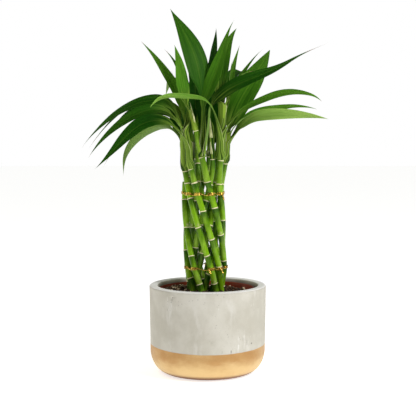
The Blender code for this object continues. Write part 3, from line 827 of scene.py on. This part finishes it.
def add_twist(skin, height, azimuth, length):
    """The wire's two ends twisted together and snipped, hanging outside the canes."""
    for phase in (0.0, math.pi):
        path = []
        for step in range(TWIST_STEPS):
            share = step / (TWIST_STEPS - 1.0)
            reach = OUTER.radius + CANE_RADIUS + WIRE_RADIUS * (2.5 + 1.5 * share)
            bearing = math.radians(azimuth) + share * TWIST_SWING
            middle = out_from(column_centre(height), reach, bearing, height - length * share)
            angle = phase + math.tau * TWIST_TURNS * share
            path.append(middle + Vector((math.cos(angle), math.sin(angle), 0.0)) * WIRE_RADIUS)
        skin.add(wire_rings(path, DEPTH_AXIS)[1:-1], path[1], path[-2])


def add_tie(name, height, finish, node, twists):
    skin = Skin().add(wire_rings(tie_path(height), UP), loop=True)
    for azimuth, length in twists:
        add_twist(skin, height, azimuth, length)
    skin.piece(name, finish, "gold_wire", node)


gold_wire = lacquered_wire()
add_tie("lower_wire", TIE_LOWER, gold_wire, "lower_tie_wire", [(42.0, 0.006), (7.0, 0.005)])
add_tie("upper_wire", TIE_UPPER, gold_wire, "upper_tie_wire", [(56.0, 0.008)])


# Shoots -------------------------------------------------------------------
# The green stems that carry on from the canes' tops and bear the leaves. They are grown, lighter
# than the canes, with a scar at each old joint; one is only a stub that was cut off and dried.

GAP = 0.0003
SPEAR_SHARE = 0.3              # share of a shoot that is its rolled youngest leaf
SPEAR_STEPS = 12
FIRST_SHOOT_SEED = 40
STUB_DIP = 0.0003
JOINT_BELOW = 0.001             # a shoot's joints are counted from one this far under its foot
JOINT_BEYOND = 0.03             # to one this far past its tip
SHOOT_BRIGHT = (0.17, 0.33, 0.016, 1.0)
SHOOT_DEEP = (0.04, 0.135, 0.005, 1.0)

# The number of its cane, the points it passes through, its old joints, its tone, and its radius at
# the base and at the tip
Shoot = namedtuple("Shoot", "cane points joints tone base tip", defaults=(0.0036, 0.0026))
SHOOTS = {
    "left": Shoot(4, [(-0.029, -0.011, 0.262), (-0.0297, -0.01, 0.286), (-0.0345, -0.009, 0.303)],
                  (0.2385, 0.253), 0.5, 0.0037, 0.003),
    "front_left": Shoot(5, [(-0.0215, -0.019, 0.262), (-0.024, -0.018, 0.285), (-0.0285, -0.0165, 0.305)],
                        (0.2392, 0.256), 0.6, 0.0037, 0.0028),
    "front": Shoot(6, [(-0.007, -0.0225, 0.271), (-0.0115, -0.0215, 0.286), (-0.015, -0.0205, 0.305),
                   (-0.022, -0.0185, 0.333)], (0.2405, 0.2706, 0.3028), 0.8, 0.0043, 0.0024),
    "centre": Shoot(11, [(0.0065, -0.0115, 0.262), (0.0045, -0.012, 0.29), (0.003, -0.012, 0.316)],
                    (0.2365, 0.268), 0.4, 0.0036, 0.0024),
    "front_right": Shoot(7, [(0.016, -0.013, 0.267), (0.0165, -0.013, 0.292), (0.018, -0.0115, 0.318),
                         (0.0185, -0.01, 0.341)], (0.237, 0.2666, 0.29), 0.9, 0.0038, 0.0032),
    "right": Shoot(8, [(0.0226, 0.004, 0.267), (0.0244, 0.004, 0.288), (0.0262, 0.004, 0.303)],
                   (0.2365, 0.262), 0.5, 0.0037, 0.0027),
    "back_right": Shoot(9, [(0.012, 0.019, 0.27), (0.014, 0.02, 0.3), (0.015, 0.021, 0.325)],
                        (0.2375, 0.268, 0.294), 0.5),
    "back": Shoot(1, [(-0.007, 0.023, 0.27), (-0.006, 0.022, 0.305), (-0.004, 0.022, 0.33)],
                  (0.2385, 0.268, 0.296), 0.5),
    "back_left": Shoot(2, [(-0.022, 0.018, 0.27), (-0.024, 0.017, 0.3), (-0.026, 0.016, 0.322)],
                       (0.2375, 0.264, 0.292), 0.4),
    "cut": Shoot(3, [(-0.0312, 0.004, 0.262), (-0.0318, 0.0035, 0.281)], (0.239, 0.266),
                 0.1, 0.0036, 0.0033),
    # The heart shoots' low tone is painted shade: they stand deep in the crown.
    "heart_1": Shoot(12, [(0.002, 0.011, 0.28), (0.002, 0.011, 0.32)], (0.2445, 0.27), 0.1),
    "heart_2": Shoot(13, [(-0.014, 0.011, 0.28), (-0.013, 0.01, 0.325)], (0.2465, 0.268), 0.1),
    "heart_3": Shoot(14, [(-0.0205, 0.001, 0.275), (-0.02, 0.003, 0.31)], (0.2465, 0.264), 0.1),
    "heart_4": Shoot(15, [(-0.012, -0.007, 0.265), (-0.0115, -0.002, 0.31)], (0.2405, 0.262), 0.1),
}


def curve_point(points, height):
    """Point of a smooth curve through the given points, at a height."""
    points = [Vector(point) for point in points]
    for index in range(len(points) - 1):
        start, end = points[index], points[index + 1]
        if height <= end.z or index == len(points) - 2:
            break
    before = points[max(index - 1, 0)]
    after = points[min(index + 2, len(points) - 1)]
    t = (height - start.z) / (end.z - start.z)
    slope_in = (end - before) / (end.z - before.z) * (end.z - start.z)
    slope_out = (after - start) / (after.z - start.z) * (end.z - start.z)
    return (start * (2 * t ** 3 - 3 * t ** 2 + 1) + slope_in * (t ** 3 - 2 * t ** 2 + t)
            + end * (3 * t ** 2 - 2 * t ** 3) + slope_out * (t ** 3 - t ** 2))


def shoot_points(shoot):
    """The shoot's points, from just above its cane's cut top."""
    cane, winding = CANES[shoot.cane - 1]
    base = cane_axis(cane, winding, cane.top)
    return [(base.x, base.y, base.z + GAP)] + shoot.points


def shoot_radius(shoot, height):
    """Radius of a shoot at a height, tapering from its base to its tip."""
    points = shoot_points(shoot)
    along = (height - points[0][2]) / (points[-1][2] - points[0][2])
    return shoot.base + (shoot.tip - shoot.base) * along


def pointed(share):
    """Radius of a rolled young leaf at a share of its length from the tip, against its full radius."""
    return 1.0 if share >= 1.0 else max(1.0 - (1.0 - share) ** 2.2, 0.03)


def add_shoots(finish):
    for seed, (name, shoot) in enumerate(SHOOTS.items(), FIRST_SHOOT_SEED):
        points = shoot_points(shoot)
        low, high = points[0][2] - GAP, points[-1][2]
        joints = [low - JOINT_BELOW, *shoot.joints, high + JOINT_BEYOND]
        heights = joint_heights(low, high, joints)
        spear = 0.0 if name == "cut" else SPEAR_SHARE * (high - low)
        for step in range(1, SPEAR_STEPS if spear else 1):
            heights.append(high - spear * (1.0 - step / SPEAR_STEPS) ** 2)

        def radius_at(z):
            """The stub has no spear, and this makes it far thinner than its full radius."""
            return shoot_radius(shoot, z) * pointed((high - z) / (spear or 1.0))

        rings, readings = stem_rings(lambda z: curve_point(points, z), sorted(heights), joints,
                                     radius_at, seed, shoot.tone)
        top = curve_point(points, high)
        if name == "cut":
            close_cut(rings, readings, top, STUB_DIP)
        skin = Skin().add(rings, curve_point(points, low), top, **readings)
        if name == "cut":
            skin.piece("dry_stub", finish, "cane", "cut_stem")
        elif name.startswith("heart"):
            skin.piece(f"{name}_stem", finish, "shoot")
        else:
            skin.piece(f"{name}_stem", finish, "shoot", f"shoot_{name}")


add_shoots(cane_skin("shoot", SHOOT_BRIGHT, SHOOT_DEEP))


# Leaves -------------------------------------------------------------------
# Long pointed blades with fine parallel veins. Each starts as a sheath that wraps its shoot, then
# narrows to a channelled stalk and opens into a folded blade with slightly waved edges. Old ones
# have dry brown tips, and the undersides are paler.

MM = 0.001                      # the tables of leaves and sheaths are in millimetres
LEAF_STEPS = 76
LEAF_COLUMNS = 15               # points across each face of a blade
COLUMNS = [2.0 * column / (LEAF_COLUMNS - 1) - 1.0 for column in range(LEAF_COLUMNS)]
CAD_SECTIONS = 11               # the CAD blades bend at this many even steps
STALK_WIDTH = 0.004
STALK_CURL = 0.0026             # radius of the stalk's channel
BLADE_THICKNESS = 0.0005
STALK_THICKNESS = 0.0013
SHEATH_THICKNESS = 0.00045
SHEATH_STEPS = 18
SHEATH_WRAPPED = 172.0          # degrees that a sheath reaches each way at its foot
SHEATH_OPEN = 58.0              # and where its stalk leaves, if another sheath lies inside it
SHEATH_CLOSED = 176.0           # or if it is the topmost
SHEATH_LAYER = 0.00038          # each lower leaf's sheath lies this much further out
BLADE_PEAK = 0.37
BLADE_SPREAD = 0.65
FIRST_LEAF_SEED = 60
GLOW_SHARE = 0.1               # share of the light that a blade lets through
LEAF_READINGS = ("across", "along", "mouth", "under", "tone", "dry", "young")

LEAF_DARK = (0.006, 0.066, 0.002, 1.0)
LEAF_LIGHT = (0.135, 0.38, 0.02, 1.0)
# Partly the leaf's own yellow-green and partly a painted highlight.
LEAF_PALE_AND_LIT = (0.43, 0.67, 0.14, 1.0)
LEAF_UNDER = (0.2, 0.32, 0.075, 1.0)
STALK_DARK = (0.01, 0.048, 0.002, 1.0)
STALK_LIGHT = (0.275, 0.44, 0.055, 1.0)
STALK_YOUNG = (0.3, 0.46, 0.045, 1.0)
SHEATH_CREAM = (0.6, 0.62, 0.33, 1.0)
LEAF_DRY = (0.26, 0.17, 0.09, 1.0)
LEAF_GLOW = (0.12, 0.42, 0.01, 1.0)

# The shoot, the height and azimuth of the foot, the blade's azimuth, length, width, pitches from
# foot to tip, tone from dark to light, the stalk's share of the length, roll, the power that draws
# the tip out, how steeply the halves fold up, the dry share at the tip, twist, and how much wider
# a closed sheath is at its mouth
Leaf = namedtuple("Leaf", "shoot height foot azimuth length width pitches tone stalk roll tail fold"
                          " dry twist flare", defaults=(0, 0, 0.3))
LEAVES = {
    "crown_1": Leaf("front", 273, 142, -114, 190, 29, (90, 87, 84, 78, 63, 57, 57),
                    0.22, 0.38, -46, 1.25, 0.05),
    "crown_2": Leaf("front", 287, 85, 98, 158, 20, (90, 88, 69, 69, 75, 70, 52),
                    0.42, 0.27, 24, 1.7, 0.2, 0.02, 40),
    # crown_3 and crown_11 have a tone near 0, which is painted shade on leaves in the crown's shade.
    "crown_3": Leaf("back", 316, 100, 135, 117, 18, (84, 79, 88), 0.02, 0.2, 0, 1.2, 0.2),
    "crown_4": Leaf("front_right", 334, -105, 118, 100, 18, (86, 82, 78, 65, 46),
                    0.42, 0.12, 45, 1.1, 0.25, 0, 0, 0.5),
    "crown_5": Leaf("front_right", 326, 110, 138, 88, 8, (80, 74, 62), 0.6, 0.2, 20, 1.5, 0.3, 0.1),
    "crown_6": Leaf("back_right", 310, 140, 124, 118, 7, (76, 64, 51, 48, 34), 0.4, 0.25, 20, 1.5, 0.3),
    "crown_7": Leaf("right", 285, 180, 125, 140, 34, (82, 62, 53, 53, 57), 0.42, 0.15, 35, 1, 0.08),
    "crown_8": Leaf("front", 325, -60, -95, 84, 16, (78, 82, 72), 0.52, 0.14, -62, 1.2, 0.12, 0, 0, 0),
    "crown_9": Leaf("front_left", 300, 130, -110, 112, 9, (86, 84, 76, 58, 36),
                    0.35, 0.25, -30, 1.5, 0.3, 0.1),
    "crown_10": Leaf("front_left", 290, 178, -118, 146, 12.5, (84, 72, 55, 49, 40),
                     0.55, 0.25, -45, 1.5, 0.3, 0.06),
    "crown_11": Leaf("back_left", 312, 110, -110, 68, 14, (76, 74, 84), 0.02, 0.2, 0, 1.2, 0.2),
    "left_1": Leaf("left", 286, -34, -98, 186, 14.5, (91, 62, -2, -24, -37, -46, -60),
                   0.2, 0.22, -55, 1.9, 0.25, 0.05),
    "left_2": Leaf("front_left", 290, -70, -82, 161, 15, (81, 40, -8, -31, -40, -50, -62),
                   0.24, 0.22, -50, 1.6, 0.25, 0.05),
    "left_3": Leaf("front_left", 280, -30, -72, 155, 19, (74, 36, -6, -38, -48, -44, -40),
                   0.12, 0.22, -50, 1.5, 0.25),
    "left_4": Leaf("left", 278, -150, -108, 135, 16, (84, 33, -14, -38, -53, -85, -92),
                   0.35, 0.22, 40, 1.6, 0.25),
    "left_5": Leaf("left", 285, 138, -142, 56, 14, (52, 48, 60), 0.1, 0.16, -30, 1, 0.2),
    "left_6": Leaf("back_left", 304, -110, -106, 176, 9, (74, 36, -8, -33, -42, -50, -54),
                   0.2, 0.22, -40, 1.9, 0.3, 0.16),
    "left_7": Leaf("back_left", 287, -80, -98, 149, 9, (72, 33, -17, -36, -46, -57, -68),
                   0.2, 0.22, -40, 1.9, 0.3, 0.14),
    "left_8": Leaf("front_right", 287.5, -18, -48, 150, 9, (80, 77, 68, 38, 8, 4, 2, -2, -14, -40, -52),
                   0.78, 0.36, -45, 1, 0.25),
    "right_1": Leaf("centre", 306, -20, 78, 190, 17, (91, 42, 22, 20, 31, 22, 22),
                    0.18, 0.15, 50, 2.6, 0.2, 0.2, 20),
    "right_2": Leaf("front_right", 289, 40, 75, 151, 12, (81, 43, 27, 21, 4, -14, -60),
                    0.56, 0.25, 50, 1.1, 0.3, 0.02),
    "right_3": Leaf("right", 286, 120, 98, 132, 10, (70, 52, 21, 7, 6, -6, -22),
                    0.6, 0.15, 50, 1.2, 0.3, 0.02),
    "right_4": Leaf("right", 286, 60, 75, 139, 18, (67, 40, 8, 4, -5, -8, -15), 0.97, 0.15, 52, 1.2, 0.15),
    "right_5": Leaf("right", 297, 20, 60, 45, 8, (60, 42, 30, 26), 0.7, 0.15, 20, 1.2, 0.3, 0.1, 0, 0.12),
    "back_1": Leaf("back", 327, 175, 172, 165, 22, (76, 36, 0, -25, -50), 0.2, 0.2, 0, 1.5, 0.3),
    "back_2": Leaf("back_right", 320, 145, 158, 160, 20, (76, 40, 10, -20, -45), 0.3, 0.2, 0, 1.5, 0.3),
    "back_3": Leaf("back_left", 318, -175, -165, 155, 20, (76, 36, 5, -25, -50),
                   0.2, 0.2, 0, 1.5, 0.3, 0.05),
    "back_4": Leaf("back", 308, -110, -150, 125, 22, (86, 74, 60), 0.25, 0.2, 0, 1.3, 0.3),
    "back_5": Leaf("back_right", 300, -130, -172, 100, 14, (84, 74, 62), 0.35, 0.2, 0, 1.4, 0.3),
}

# Leaves in the heart of the crown and small ones between the others, which have no CAD solid. The heart
# leaves' tone near 0 is painted shade, for leaves deep in the crown.
EXTRA_LEAVES = {
    "heart_1": Leaf("heart_1", 276, 150, 168, 100, 26, (88, 84, 80), 0.02, 0.08, 0, 1, 0.2),
    "heart_2": Leaf("heart_2", 292, -170, -168, 100, 22, (88, 84, 80), 0.02, 0.2, 0, 1.2, 0.2),
    "heart_3": Leaf("heart_2", 284, 60, 150, 70, 18, (88, 84, 80), 0.02, 0.2, 0, 1.2, 0.2),
    "heart_4": Leaf("heart_3", 286, -140, -160, 64, 18, (86, 82, 78), 0.02, 0.2, 0, 1.2, 0.2),
    "behind_1": Leaf("back_left", 298, -95, -100, 115, 26, (78, 40, 4, -14, -34, -50),
                     0.04, 0.12, -45, 1.3, 0.2),
    "front_stalk": Leaf("front", 273, 70, 62, 62, 5, (84, 84, 86), 0.6, 0.8, 0, 1.2, 0.2),
    "small_1": Leaf("front_right", 331, 60, 100, 60, 6, (86, 82, 80), 0.2, 0.2, 0, 1.5, 0.3),
    "small_2": Leaf("front_right", 333, 80, 95, 62, 5, (80, 76, 50, 20, 0), 0.65, 0.2, 0, 1.5, 0.3, 0.2),
    "small_3": Leaf("back_left", 316, -90, -95, 64, 5, (84, 70, 82), 0.3, 0.2, 0, 1.5, 0.3, 0.1),
}


def leaf_skin():
    """Veined leaf green: pale below, cream at the sheath's edges and brown at a dry tip."""
    finish, link = new_finish("leaf", Specular_IOR_Level=0.15, Specular_Tint=(0.8, 1.0, 0.45, 1.0))
    across, along, mouth, under, tone, dry, young = map(link.reading, LEAF_READINGS)
    lane = link.node("ShaderNodeCombineXYZ", {}, {0: across * 11.0, 1: along * 2.4, 2: tone * 37.0})
    veins = lane.grain(1.0, 4.0, 0.65)
    lines = (across * 75.0).maths("SINE")
    shade = tone + (veins - 0.5) * 0.85 + lines * 0.02 + (along - 0.62) * 0.22
    top = shade.ease(0.0, 1.0).blend(LEAF_DARK, LEAF_LIGHT)
    # The palest tones are partly the leaf's own yellow-green and partly a painted highlight.
    top = shade.ease(0.6, 1.1).blend(top, LEAF_PALE_AND_LIT)
    green = (under * 0.75).blend(top, LEAF_UNDER)
    streak = link.node("ShaderNodeCombineXYZ", {}, {0: across * 3.2, 1: along * 1.5, 2: tone * 91.0})
    streaks = streak.grain(1.0, 3.0, 0.7)
    stalk = streaks.ease(0.41, 0.59).blend(STALK_DARK, STALK_LIGHT)
    fresh = young * tone.ease(0.25, 0.5)
    stalk = (fresh * streaks.ease(0.25, 0.6)).blend(stalk, STALK_YOUNG)
    green = along.ease(0.42, 0.1).blend(green, stalk)
    from_rib = across.maths("ABSOLUTE")
    green = (from_rib.ease(0.07, 0.0) * 0.16).blend(green, STALK_LIGHT)
    green = (mouth * from_rib.ease(0.82, 0.98) * 0.9).blend(green, SHEATH_CREAM)
    colour = (dry * (veins + 0.5)).ease(0.15, 0.55).blend(green, LEAF_DRY)
    dress(finish, lines * 0.25 + veins, 0.00022, Base_Color=colour,
          Roughness=0.42 + (veins - 0.5) * 0.2 + dry * 0.3)
    nodes = finish.node_tree.nodes
    surface = Link(finish.node_tree, nodes["Principled BSDF"].outputs[0])
    glow = link.node("ShaderNodeBsdfTranslucent", {}, {"Color": LEAF_GLOW})
    both = link.node("ShaderNodeMixShader", {}, {0: GLOW_SHARE, 1: surface, 2: glow})
    both.feed(nodes["Material Output"].inputs["Surface"])
    return finish


def pitch_at(leaf, t):
    """Pitch at t, between the pitches given at even steps along the leaf."""
    place = min(max(t, 0.0), 1.0) * (len(leaf.pitches) - 1)
    index = min(int(place), len(leaf.pitches) - 2)
    return leaf.pitches[index] + (leaf.pitches[index + 1] - leaf.pitches[index]) * (place - index)


def bearing_vector(azimuth):
    """Level unit vector that points along an azimuth in degrees."""
    return out_from(0.0, 1.0, math.radians(azimuth), 0.0)


def blade_half_width(leaf, t):
    """Half the width at t: an even stalk, then a long pointed blade."""
    if t <= leaf.stalk:
        return STALK_WIDTH / 2.0
    s = min((t - leaf.stalk) / (1.0 - leaf.stalk), 1.0)
    blade = (s / BLADE_PEAK) ** BLADE_SPREAD * ((1.0 - s) / (1.0 - BLADE_PEAK)) ** leaf.tail
    return (leaf.width * MM * blade + STALK_WIDTH * (1.0 - blade) * (1.0 - s) ** 3) / 2.0


def section(centre, side, normal, half, curl, thickness, rise=lambda u: 0.0):
    """One ring round a leaf: its inner face from edge to edge, then its outer face back."""
    inner, outer = [], []
    for u in COLUMNS:
        turn = curl * half * u
        x = math.sin(turn) / curl if abs(curl) > 1.0 else half * u
        y = (1.0 - math.cos(turn)) / curl if abs(curl) > 1.0 else 0.0
        facing = normal * math.cos(turn) - side * math.sin(turn)
        body = thickness * (0.3 + 0.7 * (1.0 - abs(u) ** 3)) / 2.0
        middle = centre + side * x + normal * (y + rise(u))
        inner.append(middle + facing * body)
        outer.append(middle - facing * body)
    return inner + outer[::-1]


def hugging(centre, azimuth, radius, reach, thickness):
    """One ring of a scale curled round its shoot, which reaches some degrees each way."""
    return section(centre, bearing_vector(azimuth + 90.0), -bearing_vector(azimuth),
                   radius * math.radians(reach), 1.0 / radius, thickness)


def leaf_rings(leaf, layer, seed):
    """Rings from the bottom of the sheath to the tip, with the readings for the finish. The highest
    leaf of a shoot, layer 0, keeps its sheath wrapped round the tip."""
    scatter = random.Random(seed)
    shoot = SHOOTS[leaf.shoot]
    points = shoot_points(shoot)
    foot = leaf.height * MM
    outward = bearing_vector(leaf.foot)
    wrap = 0.00035 + SHEATH_LAYER * layer
    flare = 0.0 if layer else leaf.flare
    sheath_reach = SHEATH_CLOSED if flare else SHEATH_OPEN
    waves = scatter.uniform(1.7, 2.9)
    phase_left = scatter.uniform(0.0, math.tau)
    phase_right = scatter.uniform(0.0, math.tau)
    wave_size = scatter.uniform(0.05, 0.1)
    rings = []
    readings = {name: [] for name in LEAF_READINGS}

    def record(t, sheath, mouth):
        """Add the readings of a ring's inner face, and then of its outer face."""
        dryness = smooth_step((t - 1.0 + leaf.dry) / leaf.dry * 1.6) if leaf.dry else 0.0
        young = 0.0 if layer else sheath
        rows = [(u, t, mouth, under, leaf.tone, dryness, young)
                for under, face in ((0.0, COLUMNS), (1.0, COLUMNS[::-1])) for u in face]
        for name, row in zip(LEAF_READINGS, zip(*rows)):
            readings[name].append(row)

    low = max(joint for joint in shoot.joints if joint < foot - 0.002)
    for step in range(SHEATH_STEPS):
        share = step / SHEATH_STEPS
        z = low + (foot - low) * share
        radius = shoot_radius(shoot, z) + 0.00015 + wrap * smooth_step(share * 6.0)
        radius *= 1.0 + flare * share ** 2
        reach = SHEATH_WRAPPED - (SHEATH_WRAPPED - sheath_reach) * smooth_step(share * 1.6)
        centre = curve_point(points, z) + outward * radius
        rings.append(hugging(centre, leaf.foot, radius, reach, SHEATH_THICKNESS))
        record(0.0, 1.0, share ** 3)

    reach = shoot_radius(shoot, foot) + STALK_WIDTH / 2.0 + GAP
    foot_radius = (shoot_radius(shoot, foot) + wrap) * (1.0 + flare)
    sheath_half = foot_radius * math.radians(sheath_reach)
    stalk_half = STALK_WIDTH * 0.62
    centre = curve_point(points, foot) + outward * reach
    swing = math.remainder(leaf.azimuth - leaf.foot, 360.0)
    heading = bearing_vector(leaf.azimuth)
    stride = leaf.length * MM / LEAF_STEPS
    for step in range(LEAF_STEPS):
        t = step / LEAF_STEPS
        pitch = math.radians(pitch_at(leaf, t - 0.5 / CAD_SECTIONS))
        along = heading * math.cos(pitch) + UP * math.sin(pitch)
        settle = smooth_step(t / leaf.stalk)
        level = bearing_vector(leaf.foot + swing * settle + 90.0)
        level = (level - along * level.dot(along)).normalized()
        roll = math.radians(leaf.roll * settle + leaf.twist * t)
        side = level * math.cos(roll) + along.cross(level) * math.sin(roll)
        normal = along.cross(side)
        leave = smooth_step(t / (0.75 * leaf.stalk))
        open_out = smooth_step((t - 0.55 * leaf.stalk) / (0.9 * leaf.stalk))
        narrow = sheath_half + (stalk_half - sheath_half) * leave
        half = narrow + (blade_half_width(leaf, t) - narrow) * open_out
        curl = 1.0 / foot_radius + (1.0 / STALK_CURL - 1.0 / foot_radius) * leave
        curl *= 1.0 - open_out
        thickness = SHEATH_THICKNESS + (STALK_THICKNESS - SHEATH_THICKNESS) * leave
        thickness += (BLADE_THICKNESS - thickness) * open_out
        thickness *= min(1.0, 8.0 * (1.0 - t))
        tucked = centre - outward * (reach - foot_radius) * (1.0 - leave)
        turn = math.tau * waves * t

        def rise(u):
            """How far the blade folds up and waves, from its middle to its edges."""
            wave = wave_size * u * u * math.sin(turn + (phase_right if u > 0.0 else phase_left))
            return half * open_out * (leaf.fold * abs(u) ** 1.3 + wave)

        rings.append(section(tucked, side, normal, half, curl, thickness, rise))
        sheathed = 1.0 - smooth_step(t / (0.6 * leaf.stalk))
        record(t, sheathed, sheathed)
        centre = centre + along * stride
    return rings, readings, centre


def add_leaves(finish):
    every_leaf = {**LEAVES, **EXTRA_LEAVES}
    for seed, (name, leaf) in enumerate(every_leaf.items(), FIRST_LEAF_SEED):
        higher = [other for other in every_leaf.values()
                  if other.shoot == leaf.shoot and other.height > leaf.height]
        rings, readings, tip = leaf_rings(leaf, len(higher), seed)
        nodes = [f"leaf_{name}"] if name in LEAVES else []
        Skin().add(rings, "flat", tip, **readings).piece(f"{name}_blade", finish, "leaf", *nodes)


add_leaves(leaf_skin())


# Dry sheaths --------------------------------------------------------------
# Old sheaths and bud scales that have dried to pale paper. Each grows from the shoot it hugs, as a
# thin curved scale that narrows to a point.

HUSK_PALE = (0.66, 0.68, 0.36, 1.0)
HUSK_TAN = (0.3, 0.36, 0.1, 1.0)
HUSK_STEPS = 20
HUSK_THICKNESS = 0.00035

# The shoot, the heights of foot and tip, the azimuth, the reach each way in degrees, how far it
# stands off its shoot, and how blunt its end is
Husk = namedtuple("Husk", "shoot low high azimuth reach gap blunt")
HUSKS = {
    "centre_low": Husk("centre", 272, 290, -20, 26, 1, 3),
    "centre_high": Husk("centre", 290, 320, 0, 32, 1.6, 1.5),
    "front_high": Husk("front", 313, 338, 30, 20, 0.7, 1.2),
    "old_strip": Husk("centre", 237, 261, -62, 14, 2.2, 3),
    "right_high": Husk("right", 286, 308, -40, 22, 1.2, 1.4),
}


def husk_skin():
    """Pale dry paper with fine lines along it."""
    finish, link = new_finish("dry sheath", Roughness=0.7)
    lines = link.place().grain(1100.0, 3.0, 0.6, (1.0, 1.0, 0.1))
    return dress(finish, lines, 0.0001, Base_Color=lines.ease(0.36, 0.62).blend(HUSK_TAN, HUSK_PALE))


def add_husks(finish):
    for name, husk in HUSKS.items():
        shoot = SHOOTS[husk.shoot]
        rings = []
        for step in range(HUSK_STEPS + 1):
            share = step / HUSK_STEPS
            z = (husk.low + (husk.high - husk.low) * share) * MM
            radius = shoot_radius(shoot, z) + husk.gap * MM * smooth_step(share * 4.0)
            centre = curve_point(shoot_points(shoot), z) + bearing_vector(husk.azimuth) * radius
            reach = husk.reach * max(1.0 - share ** husk.blunt, 0.06)
            rings.append(hugging(centre, husk.azimuth, radius, reach, HUSK_THICKNESS))
        skin = Skin().add(rings, "flat", centre + UP * HUSK_THICKNESS)
        skin.piece(f"{name}_husk", finish, "leaf")


add_husks(husk_skin())


# Floor, light and camera --------------------------------------------------
# A white floor that runs out of sight, a soft key light high on the right, a narrow warm light and
# a wide one low on the left, and a room that is darker behind the camera.

CAMERA_PLACE = (0.0004, -1.3948, 0.3194)
CAMERA_DOWN = 4.626             # degrees below the horizon
CAMERA_LENS = 97.04
CAMERA_SENSOR = 36.0
CAMERA_REACH = 50.0
FLOOR_HALF = 6.0
FLOOR_WHITE = (0.93, 0.93, 0.925, 1.0)
FLOOR_LIFT = 0.72
ROOM_BRIGHT = (0.47, 0.47, 0.46, 1.0)
ROOM_DIM = (0.12, 0.12, 0.112, 1.0)
SEEN_WHITE = (1.0, 1.0, 1.0, 1.0)
GLOSS_SHARE = 0.12              # brightness of the room in reflections


def add_floor():
    mesh = bpy.data.meshes.new("floor")
    corners = [(x * FLOOR_HALF, y * FLOOR_HALF, 0.0) for x, y in ((-1, -1), (1, -1), (1, 1), (-1, 1))]
    mesh.from_pydata(corners, [], [(0, 1, 2, 3)])
    finish, _ = new_finish("white floor", Base_Color=FLOOR_WHITE, Roughness=0.9,
                           Specular_IOR_Level=0.1, Emission_Color=FLOOR_WHITE,
                           Emission_Strength=FLOOR_LIFT)
    mesh.materials.append(finish)
    floor = bpy.data.objects.new("floor", mesh)
    bpy.context.scene.collection.objects.link(floor)


def add_light(name, place, target, size, power, colour):
    """A soft light of a width and height that faces a point."""
    lamp = bpy.data.lights.new(name, "AREA")
    lamp.shape = "RECTANGLE"
    lamp.size, lamp.size_y = size
    lamp.energy = power
    lamp.color = colour
    item = bpy.data.objects.new(name, lamp)
    item.location = place
    item.rotation_mode = "QUATERNION"
    item.rotation_quaternion = (Vector(target) - Vector(place)).to_track_quat("-Z", "Y")
    bpy.context.scene.collection.objects.link(item)


def light_room():
    """White all round for the camera; for the object, dimmer on the camera's side."""
    world = bpy.data.worlds.new("studio")
    bpy.context.scene.world = world
    world.use_nodes = True
    link = Link(world.node_tree)
    background = world.node_tree.nodes["Background"].inputs
    depth = link.node("ShaderNodeTexCoord", {}, {}, "Generated").part("Y")
    seen = link.node("ShaderNodeLightPath", {}, {}, "Is Camera Ray")
    gloss = link.node("ShaderNodeLightPath", {}, {}, "Is Glossy Ray")
    room = depth.ease(0.3, -0.7).blend(ROOM_BRIGHT, ROOM_DIM)
    seen.blend(room, SEEN_WHITE).feed(background["Color"])
    (1 - gloss * (1.0 - GLOSS_SHARE)).feed(background["Strength"])


def add_camera():
    data = bpy.data.cameras.new("camera")
    data.lens = CAMERA_LENS
    data.sensor_width = CAMERA_SENSOR
    data.clip_end = CAMERA_REACH
    camera = bpy.data.objects.new("camera", data)
    camera.location = CAMERA_PLACE
    camera.rotation_euler = (math.radians(90.0 - CAMERA_DOWN), 0.0, 0.0)
    bpy.context.scene.collection.objects.link(camera)
    bpy.context.scene.camera = camera


add_floor()
add_light("key", (1.1, -0.9, 1.1), (0.0, 0.0, 0.15), (0.45, 0.45), 15.8, (1.0, 0.995, 0.995))
add_light("strip", (-0.45, -0.95, 0.6), (0.0, 0.0, 0.2), (0.04, 0.7), 0.75, (1.0, 0.93, 0.83))
add_light("rim", (-1.2, 0.3, 0.5), (0.0, 0.0, 0.1), (0.7, 0.7), 2.7, (1.0, 0.96, 0.9))
light_room()
add_camera()
bpy.context.scene.view_settings.view_transform = "Standard"
